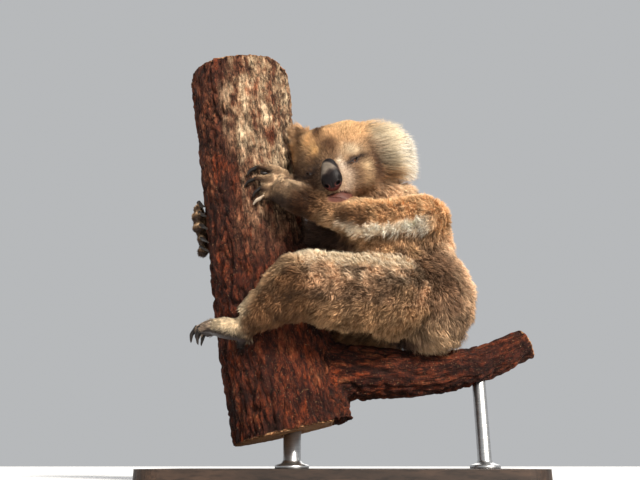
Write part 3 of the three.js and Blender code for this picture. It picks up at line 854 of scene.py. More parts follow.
HEAD_MARKS = [  # centre and spread (mm, head's frame), colour, strength
    ((-11, -47, 64), (5, 30, 20), (0.40, 0.25, 0.14), 0.95),  # dark streaks on the crown
    ((-46, -36, 62), (5, 26, 22), (0.40, 0.26, 0.15), 0.85),
    ((-60, -24, 48), (6, 26, 18), (0.90, 0.68, 0.45), 0.70),
    ((-30, -45, 52), (6, 26, 20), (1.00, 0.78, 0.52), 0.75),
    ((29, -41, 66), (14, 25, 13), (1.00, 0.83, 0.61), 0.70),
    ((53, -37, 55), (13, 25, 11), (1.00, 0.80, 0.58), 0.60),
    ((3, -66, 25), (8.5, 20, 13), (0.38, 0.25, 0.16), 0.88),  # above the bridge of the nose
    ((11, -68, 8), (6, 18, 9), (0.50, 0.36, 0.26), 0.60),
    ((-19, -64, 25), (5, 20, 10), (1.00, 0.80, 0.53), 0.95),  # pale brows: pale fur with a painted highlight on the brow ridges
    ((-28, -62, 10), (6, 16, 6), (0.74, 0.54, 0.37), 0.50),
    ((33, -60, 10), (11, 20, 6.5), (1.00, 0.91, 0.77), 0.95),
    ((20, -66, 12), (5, 18, 8), (0.86, 0.70, 0.53), 0.60),
    ((55, -50, 12), (7, 18, 9), (0.93, 0.76, 0.57), 0.60),
    ((24, -80, -24), (5, 14, 6.5), (0.40, 0.27, 0.19), 0.80),  # brown below the eye
    ((40, -71, -33), (6.5, 18, 10), (0.52, 0.36, 0.25), 0.75),
    ((52, -62, -22), (6.5, 18, 8), (1.00, 0.88, 0.70), 0.95),  # pale tufts down the cheek
    ((50, -60, -42), (7, 18, 9), (0.98, 0.82, 0.62), 0.85),
    ((62, -52, -34), (4.5, 18, 14), (0.52, 0.36, 0.25), 0.70),
    ((33, -60, -58), (9, 18, 7), (0.75, 0.55, 0.39), 0.60),
    ((28, -75, -15), (5, 14, 3.3), (0.15, 0.09, 0.07), 0.97),  # dark along the near eye's lids: dark fur and painted shade of the shut lid past the slit's ends
    ((37, -68, -9), (6, 14, 3.8), (0.13, 0.08, 0.06), 1.00),
    ((47, -60, -3), (5.5, 14, 3.5), (0.15, 0.09, 0.07), 0.97),
    ((-35, -70, -13), (9.5, 14, 4.0), (0.13, 0.08, 0.07), 1.00),  # and the far one's, dark fur and painted shade alike
    # the far side below the eye darker: brown fur and painted shade
    ((-22, -75, -8), (6, 18, 13), (0.42, 0.29, 0.20), 0.80),
    ((-40, -72, -29), (12, 18, 9), (0.47, 0.33, 0.23), 0.75),
    # painted shadow in the gap between the far side of the head, the arm and the log
    ((-62, -44, 2), (7, 22, 13), (0.22, 0.14, 0.10), 0.80),
    ((67, -42, 2), (6, 16, 17), (0.26, 0.15, 0.09), 0.95),  # painted shade in front of the ear, here and on the next line
    ((68, -43, -26), (6, 16, 13), (0.36, 0.22, 0.14), 0.80),
    ((15, -76, -5), (4, 14, 9), (0.97, 0.89, 0.78), 0.95),  # white beside the nose
    ((18.5, -82, -19), (4.5, 14, 9), (1.00, 0.92, 0.83), 1.00),
    ((24, -81, -33), (6.5, 16, 9), (0.97, 0.87, 0.77), 1.00),
    ((23, -79, -46), (7, 16, 9), (0.95, 0.84, 0.73), 1.00),
    ((15, -80, -56), (7, 16, 5), (0.98, 0.88, 0.80), 0.90),
    ((-19, -79, -42), (5, 18, 12), (0.72, 0.60, 0.50), 0.70),
    ((8, -72, -78), (22, 24, 6), (0.80, 0.66, 0.53), 0.70),  # under the chin
]
ARM_BAND = [(2, -141, 377), (36, -140, 364), (73, -135, 368), (110, -125, 376), (135, -119, 382),
            (150, -118, 392)]
BODY_MARKS = [  # centre and reach (mm), colour, strength
    ((34, -155, 386), 24, (0.46, 0.31, 0.20), 0.75),  # painted shadow of the head on the arm under the chin, here and on the next line
    ((9, -149, 392), 20, (0.42, 0.28, 0.18), 0.80),
    ((135, -126, 411), 9, (0.50, 0.31, 0.19), 0.80),  # a swirl behind the shoulder
    ((118, -107, 350), 20, (1.00, 0.81, 0.59), 0.60),  # tan on the flank
    ((82, -112, 348), 18, (1.00, 0.81, 0.59), 0.60),
    ((87, -123, 339), 17, (0.20, 0.13, 0.09), 0.95),  # painted shade in the hollow between thigh and flank
    ((18, -147, 327), 8, (0.52, 0.40, 0.30), 0.60),
    ((51, -145, 321), 8, (0.52, 0.40, 0.30), 0.60),
    ((138, -110, 320), 26, (0.34, 0.24, 0.17), 0.60),
    ((158, -106, 296), 22, (0.42, 0.31, 0.23), 0.50),
    ((100, -141, 262), 26, (0.48, 0.37, 0.25), 0.45),
    ((-74, -176, 304), 17, (0.40, 0.30, 0.23), 0.55),  # dark on the knee, and painted shade on the thigh's underside
    ((-103, -162, 275), 17, (0.42, 0.32, 0.24), 0.55),
    ((-27, -165, 256), 20, (0.38, 0.27, 0.20), 0.45),
    ((6, -162, 262), 16, (0.36, 0.26, 0.19), 0.55),
    ((0, -141, 336), 17, (1.00, 0.93, 0.81), 0.90),  # pale bushy clumps on top of the thigh: cream fur with painted sunlight
    ((35, -140, 330), 15, (1.00, 0.93, 0.81), 0.90),
    ((66, -141, 323), 13, (0.96, 0.84, 0.70), 0.90),
]
BUSHY = [  # centre and reach of the clumps that stand out
    ((0, -141, 336), 15), ((35, -140, 330), 14), ((66, -141, 323), 13), ((40, -138, 361), 13),
    ((62, -135, 362), 13), ((84, -130, 366), 14), ((106, -125, 373), 15), ((128, -121, 379), 16)]


def line_gap(p, line):
    """How far points are from a line of straight pieces."""
    gap = np.full(len(p), 1e9)
    for a, b in zip(np.array(line[:-1], float), np.array(line[1:], float)):
        share = np.clip((p - a) @ (b - a) / ((b - a) @ (b - a)), 0, 1)
        gap = np.minimum(gap, norm(p - a - share[:, None] * (b - a)))
    return gap


def blend(base, other, amount):
    amount = np.clip(amount, 0, 1)[:, None]
    return base * (1 - amount) + np.asarray(other, float) * amount


def layers(colour, *coats):
    """A colour with others laid over it, each where its amount says."""
    colour = np.asarray(colour, float)
    for other, amount in coats:
        colour = blend(colour, other, amount)
    return colour


def coat_colours_and_painted_light(v, n, weights):
    """The coat's display colours at its tips, and nearer its roots, for each point of the skin: its markings,
    with painted sunlight on the tops and painted shade underneath, in hollows and in shadows.
    """
    w = {r: sum(weights[:, k] for k, name in enumerate(FLESH) if region_of(name) == r) for r in REGIONS}
    mm, local = v / MM, to_head(v)
    x, y, z = mm.T
    lx, ly, lz = local.T
    up, back = n[:, 2], n[:, 0]
    blotch, fleck = noise(v, 0.024, 60), noise(v, 0.010, 61)
    body = layers(
        (0.83, 0.68, 0.54),
        ((1.0, 0.85, 0.70), smooth(0.35, 0.85, back) * smooth(250, 330, z)),  # sunlit tan back
        ((0.46, 0.34, 0.26), smooth(0.9, 0.3, back) * smooth(-0.2, 0.5, back) * smooth(400, 330, z)
         * smooth(225, 260, z) * 0.85),  # dark flank
        ((0.80, 0.67, 0.53), smooth(270, 215, z)),  # pale seat
        ((1.0, 0.86, 0.71), smooth(400, 440, z) * smooth(60, 110, x)),  # withers, paler on top: tan fur and painted sunlight
        ((0.32, 0.24, 0.20), smooth(-0.1, -0.6, back) * smooth(430, 400, z)),  # belly, kept dark: painted shade
        ((0.86, 0.80, 0.72), smooth(-0.2, -0.7, back) * smooth(425, 450, z) * 0.8))  # chest
    pale = smooth(17, 9, line_gap(mm, ARM_BAND) - 5 * smooth(60, 130, x) + 3 * fleck + 2 * blotch)
    arm = layers(
        (0.88, 0.69, 0.50),
        # painted sunlight on the top of the arm, painted shade on its underside
        ((1.0, 0.84, 0.65), smooth(0.0, 0.8, up + 0.6 * blotch) * 0.85),
        ((0.60, 0.42, 0.28), smooth(0.1, 0.6, fleck + 0.4 * blotch) * 0.5),
        ((0.72, 0.58, 0.44), smooth(-0.5, -0.8, up)),
        ((1.0, 0.97, 0.90), pale * (1 - 0.8 * smooth(132, 156, x + 8 * blotch))))
    forearm = layers(
        (0.50, 0.36, 0.25),
        ((0.80, 0.68, 0.53), smooth(-0.2, -0.7, up) * 0.7 * smooth(-60, 0, x)),
        (arm, smooth(-40, 15, x + 8 * blotch)),
        # painted shade towards the wrists, sooner on the far arm
        ((0.31, 0.20, 0.13), smooth(-20 + 30 * (y > 0), -60 - 40 * (y > 0), x)),
        ((1.0, 0.95, 0.86), pale * smooth(-20, 10, x)))
    hand = layers(
        (0.56, 0.45, 0.34),
        # painted sunlight on the back of the hand; below, dark palm with painted shade
        ((0.86, 0.74, 0.60), smooth(0.05, 0.5, up + 0.4 * fleck)),
        ((0.30, 0.22, 0.17), smooth(-0.1, -0.6, up)),
        ((0.36, 0.25, 0.18), smooth(0.1, 0.7, fleck + 0.5 * blotch) * 0.7),
        ((0.34, 0.25, 0.185), smooth(-10, 20, y) * 0.6),  # painted shade on the far hand, darker still on the next line
        ((0.20, 0.14, 0.10), smooth(15, 70, y)))
    thigh = layers(
        (0.87, 0.70, 0.55),
        # painted sunlight on the top of the thigh, where the dark mottling fades, and painted shade
        # underneath
        ((1.0, 0.92, 0.80), smooth(0.0, 0.6, up + 0.3 * blotch)),
        ((0.44, 0.34, 0.26), smooth(-0.1, 0.5, blotch + 0.6 * fleck) * smooth(0.75, 0.35, up) * 0.75),
        ((0.78, 0.62, 0.46), smooth(-0.35, -0.8, up)))
    shank = layers(
        (0.54, 0.39, 0.27),
        # painted sunlight on the top of the shank
        ((0.82, 0.69, 0.54), smooth(0.1, 0.7, up + 0.3 * blotch) * 0.8),
        ((0.92, 0.84, 0.71), smooth(-118, -146, x) * smooth(-0.5, 0.3, up)))
    foot = layers(
        (0.90, 0.82, 0.69),
        ((0.73, 0.64, 0.56), smooth(-183, -197, x + 3 * fleck)),  # toes
        ((0.24, 0.20, 0.19), smooth(-0.45, -0.75, up)),  # sole
        ((0.17, 0.12, 0.10), smooth(211, 203, z + 2 * fleck)))  # inner toe
    head = layers(
        (0.74, 0.58, 0.43),
        # the crown paler: its own tan and painted sunlight
        ((0.96, 0.76, 0.55), smooth(18, 44, lz + 6 * blotch)),
        # the far lower face darker: brown fur and painted shade
        ((0.52, 0.39, 0.29), smooth(-4, -30, lx) * smooth(20, -10, lz)),
        ((0.72, 0.56, 0.41), smooth(20, 60, ly)))
    for centre, spread, colour, strength in HEAD_MARKS:
        gap = (((local + np.stack([2.5 * blotch, blotch * 0, 3 * fleck], 1) - centre) / spread) ** 2).sum(1)
        head = blend(head, colour, strength * np.exp(-0.5 * gap))
    ear, brown_base = np.ones((len(v), 3)), np.zeros(len(v))
    for side, name in ((1, "left"), (-1, "right")):
        centre, radii, _, origin = EARS[name]
        own = (local - centre) @ ear_turn(name) / radii
        apart = norm((own - unit(np.array([origin[0], 0, origin[1]])) * 0.9) * (1, 0, 1))
        behind = smooth(0.25, 0.7, own[:, 1]) * 0.7
        if side > 0:
            tinted = layers((1.0, 0.97, 0.91), ((0.82, 0.66, 0.50), behind),
                            ((0.52, 0.36, 0.24), smooth(0.5, 0.2, apart + 0.15 * fleck)))
        else:
            tinted = layers((0.87, 0.72, 0.57),
                            ((0.60, 0.43, 0.31), np.maximum(smooth(1.0, 0.3, apart) * 0.6, behind)))
        mine = lx * side > 0
        ear = np.where(mine[:, None], tinted, ear)
        brown_base = np.where(mine, smooth(0.8, 0.3, apart) * (0.6 if side > 0 else 1), brown_base)
    colours = dict(head=head, ear=ear, neck=body, chest=body, rump=body, thigh=thigh, shank=shank, foot=foot,
                   upper_arm=arm, forearm=forearm, hand=hand)
    total = sum(w[r][:, None] * colours[r] for r in REGIONS) / sum(w.values())[:, None]
    # the head's long hair that streams on into the ear
    streaming = (w["head"] * smooth(54, 64, lx) * smooth(-34, -20, ly) * smooth(-42, -22, lz)
                 * smooth(76, 62, lz))
    cream = layers((0.80, 0.62, 0.44), ((1.0, 0.93, 0.80), smooth(-30, -8, lz + 8 * fleck)))
    total = blend(total, cream, streaming)
    elsewhere = 1 - np.minimum(1, w["head"] + w["ear"])
    for centre, reach, colour, strength in BODY_MARKS:
        gap = norm(mm - centre) / reach + 0.22 * fleck
        total = blend(total, colour, strength * smooth(1.15, 0.45, gap) * elsewhere)
    total *= (1 + 0.07 * blotch + 0.05 * fleck)[:, None]
    on_ear, own_head = w["ear"][:, None], w["head"][:, None]
    bright = smooth(0.58, 0.86, total @ (0.3, 0.5, 0.2))[:, None]
    total *= 1.06 - 0.10 * own_head - 0.02 * on_ear
    # painted light: the roots on the head's far side are paler so that it looks lit
    far_side_painted_light = own_head * smooth(5, -15, lx)[:, None]
    under = total * (0.66 - 0.14 * own_head + 0.26 * on_ear
                     + bright * (0.28 - 0.14 * own_head + 0.2 * far_side_painted_light))
    shadowed = streaming * smooth(42, 18, lz + 6 * fleck) * smooth(-36, -18, lz) * smooth(74, 62, lx)
    under = layers(under * (1.0, 0.96, 0.92), ((0.36, 0.21, 0.12), 0.95 * shadowed),
                   ((0.56, 0.39, 0.26), brown_base * w["ear"] * 0.8))
    return total / np.maximum(1, total.max(1, keepdims=True)), np.clip(under, 0, 1)


def flow_field(v, n, weights, e):
    """The lie of the coat: from the nose back over the head, down the body and out along each limb."""
    mm = v / MM
    flow = np.zeros_like(v)
    spine = unit(np.array([0.35, 0, -1.0]))
    for k, name in enumerate(FLESH):
        region = region_of(name)
        side = name.rsplit("_", 1)[-1]
        if region == "head":
            d = unit(to_head(v) - NOSE_TIP + (0, 0, 6)) @ HEAD_TURN.T
        elif region == "ear":
            own = to_head(v) - EARS[side][0] * 0.62
            d = unit(own) @ HEAD_TURN.T
        elif region == "neck":
            d = np.tile(unit(np.array([0.8, 0, -0.75])), (len(v), 1))
        elif region in ("chest", "rump"):
            d = np.tile(spine, (len(v), 1))
        elif region in ("hand", "foot"):
            d = unit(mm - np.array({"hand": WRIST, "foot": ANKLE}[region][side]))
        else:
            ends = {"thigh": (HIP, KNEE), "shank": (KNEE, ANKLE), "upper_arm": (SHOULDER, ELBOW),
                    "forearm": (ELBOW, WRIST)}[region]
            d = np.tile(unit(np.array(ends[1][side]) - np.array(ends[0][side])), (len(v), 1))
            d = unit(d + (0, 0, -0.45))
        flow += weights[:, k:k + 1] * d
    flow = unit(flow - n * (flow * n).sum(1, keepdims=True))
    flow = relax(flow, e, 10)
    return unit(flow - n * (flow * n).sum(1, keepdims=True))


PIECES = {  # most triangles in each piece of the coat, and the flesh it grows on
    "coat_face": (190000, ()),
    "coat_head": (170000, ("head",)),
    "coat_ears": (170000, ("ear_left", "ear_right")),
    "coat_trunk_front": (170000, ("chest", "neck")),
    "coat_trunk_rear": (180000, ("rump",)),
    "coat_leg_left": (195000, ("thigh_left", "shank_left", "foot_left")),
    "coat_leg_right": (115000, ("thigh_right", "shank_right", "foot_right")),
    "coat_arm_left": (190000, ("upper_arm_left", "forearm_left", "hand_left")),
    "coat_arm_right": (110000, ("upper_arm_right", "forearm_right", "hand_right")),
}
CLUMP = 0.0085  # distance between the points that locks gather to


def unwrap(piece, p):
    """An unwrap of the skin's own shape: round the axis and along it, from 0 to 1."""
    axes = {
        "coat_face": [HEAD_CENTRE + HEAD_TURN[:, 1] * y for y in (0.03, -0.06)],
        "coat_head": [HEAD_CENTRE + HEAD_TURN[:, 1] * y for y in (0.06, -0.09)],
        "coat_ears": [HEAD_CENTRE + (0.06, y, 0) for y in (0.05, -0.06)],
        "coat_trunk_front": np.array([(0.11, -0.01, 0.34), (0.08, -0.02, 0.47)]),
        "coat_trunk_rear": np.array([(0.15, -0.01, 0.23), (0.10, -0.01, 0.36)]),
    }
    if piece in axes:
        low, high = axes[piece]
    else:
        limb, side = piece.split("_")[1:]
        ends = {"leg": (HIP, ANKLE), "arm": (SHOULDER, WRIST)}[limb]
        low, high = (np.array(end[side]) * MM for end in ends)
    axis = unit(high - low)
    across = unit(np.cross(axis, (0.0, 0.31, 1.0)))
    other = np.cross(axis, across)
    q = p - (low + high) / 2
    round_it = np.arctan2(q @ across, q @ other) / (2 * math.pi) + 0.5
    along = np.arctan2(q @ axis, np.hypot(q @ across, q @ other)) / math.pi + 0.5
    along = (np.argsort(np.argsort(along)) + 0.5) / len(along)
    return np.stack([round_it, along], 1)


def patch_places(uv, cells=PATCHES):
    """Each tuft's own little square of the unwrap, at its root's place or in the nearest free square."""
    taken = np.zeros(cells * cells, bool)
    place = np.full(len(uv), -1)
    steps = [(i, j) for i in range(-16, 17) for j in range(-16, 17)]
    steps.sort(key=lambda s: s[0] ** 2 + s[1] ** 2)
    home = np.clip((uv * cells).astype(int), 0, cells - 1)
    waiting = np.arange(len(uv))
    for i, j in steps:
        if not len(waiting):
            break
        c = (home[waiting] + (i, j)) % cells
        key = c[:, 0] * cells + c[:, 1]
        _, first = np.unique(key, return_index=True)
        first = first[~taken[key[first]]]
        taken[key[first]] = True
        place[waiting[first]] = key[first]
        waiting = np.delete(waiting, first)
    place[waiting] = home[waiting] @ (cells, 1)
    return np.stack([place // cells, place % cells], 1) / cells


def tuft_faces(steps):
    """The faces of one three-sided lock, and the places of their corners on its patch."""
    faces, corner_uv = [], []
    for s in range(3):
        u0, u1 = s / 3, (s + 1) / 3
        for k in range(steps - 1):
            a, b = 3 * k + s, 3 * k + (s + 1) % 3
            v0, v1 = k / steps, (k + 1) / steps
            faces += [(a, b, b + 3), (a, b + 3, a + 3)]
            corner_uv += [((u0, v0), (u1, v0), (u1, v1)), ((u0, v0), (u1, v1), (u0, v1))]
        k = steps - 1
        faces.append((3 * k + s, 3 * k + (s + 1) % 3, 3 * steps))
        corner_uv.append(((u0, k / steps), (u1, k / steps), ((u0 + u1) / 2, 1)))
    return np.array(faces), np.array(corner_uv)


def build_tufts(name, kinds, uv, material):
    """One mesh of tapered three-sided locks. A path is (tufts, steps + 1, 3) and ends at the tip."""
    all_v, all_faces, all_colours, all_uv = [], [], [], []
    first, used = 0, 0
    for path, side, lift, widths, colours in kinds:
        count, steps = path.shape[0], path.shape[1] - 1
        rings, shades = [], []
        for k in range(steps):
            w = widths[:, k, None]
            rings += [path[:, k] + side * w * 0.5, path[:, k] + lift * w * 0.38, path[:, k] - side * w * 0.5]
            shades += [colours[:, k]] * 3
        faces, corner_uv = tuft_faces(steps)
        per = 3 * steps + 1
        all_v.append(np.stack(rings + [path[:, steps]], 1).reshape(-1, 3))
        all_colours.append(np.stack(shades + [colours[:, steps]], 1).reshape(-1, 3))
        all_faces.append((faces[None] + first + per * np.arange(count)[:, None, None]).reshape(-1, 3))
        corners = uv[used:used + count, None, None, :] + 0.0001 + corner_uv[None] * 0.0029
        all_uv.append(corners.reshape(-1, 2))
        first += per * count
        used += count
    ob = mesh_object(name, np.vstack(all_v), np.vstack(all_faces), material)
    put_colour(ob, "Coat", np.vstack(all_colours))
    ob.data.uv_layers.new(name="OFBake").data.foreach_set("uv", np.vstack(all_uv).astype(np.float32).ravel())
    return ob


SKULL = [  # centre and radii of the balls that fill the head, in its own frame
    ((0, 8, 20), (67, 62, 60)), ((0, -24, 22), (52, 33, 41)), ((45, -10, -19), (32, 43, 33)),
    ((-45, -10, -19), (32, 43, 33)), ((24, -46, -31), (25, 30, 26)), ((-24, -46, -31), (25, 30, 26)),
    ((0, -60, -30), (22, 33, 30)), ((0, -57, -58), (23, 25, 17))]


def skull_gap(p):
    """About how far a point is outside the head's flesh, in millimetres."""
    local = to_head(p)
    gap = np.full(len(p), 1e9)
    for centre, radii in SKULL:
        share = norm((local - centre) / radii)
        gap = np.minimum(gap, (share - 1) * min(radii))
    return gap


def shape_coat(v, n, weights, e):
    """The tufts' lie, depth, length, width and density at each point, and how far clumps stand out."""
    mm, local = v / MM, to_head(v)
    lx, ly, lz = local.T
    flow = flow_field(v, n, weights, e)

    def lean(way, share):
        return unit(flow * (1 - share[:, None]) + np.asarray(way) * share[:, None])

    table = np.array([REGIONS[region_of(name)] for name in FLESH])
    depth, length, width, density = (weights @ table).T / weights.sum(1)
    on_head = weights[:, FLESH.index("head")]
    head_depth = face_depth(local)
    depth += on_head * (head_depth - REGIONS["head"][0])
    face = on_head * smooth(7.0, 2.0, head_depth)
    length, width, density = (all_over * (1 - face) + face * there
                              for all_over, there in ((length, 4.4), (width, 0.75), (density, 150)))
    by_left = smooth(-34, -20, ly) * smooth(50, 62, lx) * smooth(-40, -24, lz) * smooth(74, 60, lz)
    by_right = smooth(-30, -12, ly) * smooth(-26, -40, lx) * smooth(44, 58, lz)
    length += on_head * (by_left * 40 + by_right * 8)
    depth += on_head * by_right * 2
    fan = np.clip(local[:, 2:] * 0.008 - 0.10, -0.4, 0.02) - 0.18 * smooth(40, 66, local[:, 2:])
    toward_ear = unit(np.where(local[:, :1] > 0, fan * (0, 0, 1) + (1.0, -0.05, 0.0), (-0.5, 0.1, 0.85)))
    flow = lean(toward_ear @ HEAD_TURN.T, 0.85 * on_head * np.maximum(by_left, 0.8 * by_right))
    by_chin = (1 - on_head) * smooth(32, 18, norm(local - (6, -84, -68)))
    length *= 1 - 0.6 * by_chin
    depth *= 1 - 0.75 * by_chin
    by_log = (1 - on_head) * smooth(52, 26, norm(mm - (-38, -38, 412)))
    by_hand = smooth(20, 60, mm[:, 1]) * weights[:, FLESH.index("hand_right")]
    by_branch = (smooth(-0.1, -0.6, n[:, 2]) * smooth(252, 238, mm[:, 2]) * smooth(55, 75, mm[:, 0])
                 * smooth(-95, -70, mm[:, 1]) * (1 - on_head))
    length += by_log * 14 + by_hand * 7 + by_branch * 8
    depth += by_log * 8 + by_hand * 4 + by_branch * 9
    flow = lean((-1.0, -0.3, 0.35), 0.8 * by_log)
    by_ankle = smooth(40, 14, norm(mm - np.array(ANKLE["left"]) - (8, -8, 8)))
    length *= 1 - 0.35 * by_ankle
    depth *= 1 - 0.4 * by_ankle
    bushy = np.max([smooth(1.3, 0.4, norm(mm - centre) / reach) for centre, reach in BUSHY], 0)
    flow = lean((0.15, -0.75, 0.65), 0.7 * bushy)
    return flow, depth + bushy * 8, length + bushy * 6, width, density, bushy


def ear_spray(root, normal):
    """The lie, length, rise and width of the ears' tufts, which spray out to the fringe's outline."""
    q, count = to_head(root), len(root)
    left = q[:, 0] > 0
    out, reach = np.zeros((count, 3)), np.zeros(count)
    for name, mine in (("left", left), ("right", ~left)):
        centre, radii, _, origin = EARS[name]
        turn = ear_turn(name)
        own = (q[mine] - centre) @ turn / radii * (1, 0, 1)
        spray = unit(own - (origin[0], 0, origin[1]) + rng.normal(size=own.shape) * (0.22, 0, 0.22))
        near, far = np.zeros(len(own)), np.full(len(own), 3.0)
        for _ in range(12):
            mid = (near + far) / 2
            inside = fringe_outline(name, own + spray * mid[:, None]) < 1
            near, far = np.where(inside, mid, near), np.where(inside, far, mid)
        span = spray * radii * near[:, None] * rng.uniform(0.70, 1.08, mine.sum())[:, None]
        reach[mine] = np.clip(norm(span), 13, 58) * MM
        out[mine] = unit(span) @ turn.T @ HEAD_TURN.T
    lie = unit(out + rng.normal(size=(count, 3)) * 0.07)
    lie = unit(lie - normal * (lie * normal).sum(1, keepdims=True) * 0.75)
    rise = rng.uniform(2.0, 6.5, count) * MM * np.minimum(1, reach / (20 * MM))
    return lie, reach, rise, rng.uniform(0.75, 1.25, count)


def scatter(total, count, t):
    """Spreads places over the skin as densely as tufts are wanted. Returns what reads a value there."""
    pick = np.searchsorted(total, (np.arange(count) + rng.random(count)) / count * total[-1])
    pick = np.minimum(pick, len(t) - 1)
    b = rng.random((count, 2))
    b = np.where(b.sum(1, keepdims=True) > 1, 1 - b, b)
    corners = np.concatenate([1 - b.sum(1, keepdims=True), b], 1)

    def at(values):
        return (values[t[pick]] * corners.reshape(count, 3, *([1] * (values.ndim - 1)))).sum(1)

    return at


def draw_paths(steps, root, normal, lie, rise, run, pull, sag, curl):
    """Each tuft's line from its root to its tip: up and over, towards its lock, down by its weight."""
    path = []
    for s in np.arange(steps + 1) / steps:
        height = -0.0012 * (1 - s) + rise * (1 - (1 - s) ** 1.6)
        path.append(root + normal * height[:, None] + lie * (run * s)[:, None] + pull * s ** 1.5
                    + sag * s ** 2 + curl * math.sin(3.1 * s) * 0.6)
    return np.stack(path, 1)


def shade_tufts(steps, low, high, tone, is_ear, sleek):
    """Linear colours along each tuft, darker at the root, with its own tone."""
    shades = []
    for s in np.arange(steps + 1) / steps:
        share = min(1, s + 0.35 * (s > 0)) if is_ear else s ** 0.7
        own_tone = 1 + (tone - 1) * (share if sleek else 0.5 + 0.5 * share)
        shade = (low * (1 - share) + high * share) * own_tone
        shades.append(lin(shade / np.maximum(1, shade.max(1, keepdims=True))))
    return np.stack(shades, 1)


def grow_coat(v, t, n, weights, bare, perch_tree, coat_colour, under_colour, e):
    """Tufts over the whole skin, gathered in locks, lying along the coat's flow."""
    flow, depth, length, width, density, bushy = shape_coat(v, n, weights, e)
    area = norm(np.cross(v[t[:, 1]] - v[t[:, 0]], v[t[:, 2]] - v[t[:, 0]])) / 2
    owner = weights.argmax(1)[t[:, 0]]
    groups = {name: g for g, (_, members) in enumerate(PIECES.values()) for name in members}
    group = np.array([groups[name] for name in FLESH])[owner]
    sole = np.array([region_of(name) in ("hand", "foot") for name in FLESH])[owner]
    local = to_head(v)
    at_face = ((local[:, 1] < -34) & (local[:, 2] < 40))[t[:, 0]]
    group = np.where((group == groups["head"]) & at_face, 0, group)
    silky, woolly_fur = make_fur("silky_fur", 0.05), make_fur("woolly_fur", 0.03)
    for g, (piece, (most, _)) in enumerate(PIECES.items()):
        is_ear, is_head = piece == "coat_ears", piece in ("coat_head", "coat_face")
        sleek = is_ear or is_head
        want = area * density[t].mean(1) * 1e4 * (group == g) * (1 - bare[t].mean(1)) ** 2
        if "leg" in piece:
            want *= np.where(sole, smooth(-0.92, -0.65, n[t[:, 0], 2]), 1)
        total = np.cumsum(want)
        # curved locks, then finer straight hairs that gather with them
        coarse = {"coat_ears": 1.0, "coat_face": 0.35}.get(piece, 0.5)
        plan = [(4 if is_ear else 2, coarse * most / (21 if is_ear else 9)), (1, (1 - coarse) * most / 3)]
        fit = min(1, total[-1] / sum(many for _, many in plan))
        kinds, roots, anchors = [], [], None
        for steps, many in plan:
            count = int(many * fit * SHARE)
            if not count:
                continue
            at = scatter(total, count, t)
            root, normal, lie = at(v), unit(at(n)), unit(at(flow))
            outward = 0.8 * at(bushy)[:, None]
            normal = unit(normal * (1 - outward) + unit(np.array([0.3, -0.75, 0.6])) * outward)
            keep = nearest(perch_tree, root)[0] > OFF_BARK
            own_length, own_depth = at(length), at(depth)
            own_width = at(width) * (1.0 if steps > 1 else 0.72)
            # tufts lean a little this way and that, by place and by chance
            side = np.cross(normal, lie)
            swing = 0.5 * noise(root, 0.030, 70) + 0.75 * noise(root, 0.011, 71)
            swing += 0.35 * rng.normal(size=count)
            swing = 0.5 * swing if is_head else swing + 0.45 * noise(root, 0.0055, 74)
            lie = lie * np.cos(swing)[:, None] + side * np.sin(swing)[:, None]
            reach = own_length * rng.uniform(0.68, 1.15, count) * (1 + 0.2 * noise(root, 0.013, 72)) * MM
            relief = noise(root, 0.010 if sleek else 0.013, 73)
            if not sleek:
                relief += 0.5 * noise(root, 0.006, 75)
            woolly = 0.0 if sleek else np.clip(own_depth / 12, 0, 1)
            rise = own_depth * rng.uniform(0.6, 1.0, count) * (1 + (0.30 + 0.15 * woolly) * relief) * MM
            rise = np.minimum(rise, reach * (0.6 if is_head else 0.9))
            if is_ear:
                lie, reach, rise, own_width = ear_spray(root, normal)
            run = np.sqrt(np.maximum(reach ** 2 - rise ** 2, (0.3 * reach) ** 2))
            tip = root + normal * rise[:, None] + lie * run[:, None]
            # locks: tips gather towards those of a scattered set
            if anchors is None:
                chosen = rng.permutation(count)[:max(60, int(count / (9 if is_ear else 5.5)))]
                tree = KDTree(len(chosen))
                for i, j in enumerate(chosen):
                    tree.insert(root[j], i)
                tree.balance()
                anchors, anchor_tone = tip[chosen], rng.normal(size=len(chosen))
            mate = np.array([tree.find(p)[1] for p in root.tolist()])
            clump = CLUMP * np.clip(own_length / 18, 0.35, 1.1)
            pull = anchors[mate] - tip
            pull *= np.minimum(1, clump / (norm(pull) + 1e-9))[:, None]
            pull *= ((0.35 if sleek else 0.62) * rng.uniform(0.5, 1.1, count))[:, None]
            sag = -(0.10 if is_ear else 0.08) * (reach * rng.uniform(0.5, 1.5, count))[:, None] * (0, 0, 1)
            side = unit(np.cross(normal, lie))
            curl = side * (reach * 0.10 * rng.normal(size=count))[:, None]
            path = draw_paths(steps, root, normal, lie, rise, run, pull, sag, curl)
            # tips stay out of the bark and off the face
            gap, spot, bark_normal, _ = nearest(perch_tree, path[:, -1])
            deep = gap < OFF_BARK
            path[deep, -1] = spot[deep] + bark_normal[deep] * 0.0014
            if not sleek:
                keep &= ~((to_head(path[:, -1])[:, 1] < -20) & (skull_gap(path[:, -1]) < 5))
            keep &= norm(path[:, -1] - path[:, 0]) > 0.15 * reach
            taper = np.array({1: [1.0], 2: [1.0, 0.78], 4: [0.8, 1.0, 0.8, 0.5]}[steps])
            widths = own_width[:, None] * rng.uniform(0.75, 1.2, count)[:, None] * taper * MM
            tone = 0.96 + 0.07 * rng.normal(size=count) + (0.04 if sleek else 0.09) * anchor_tone[mate]
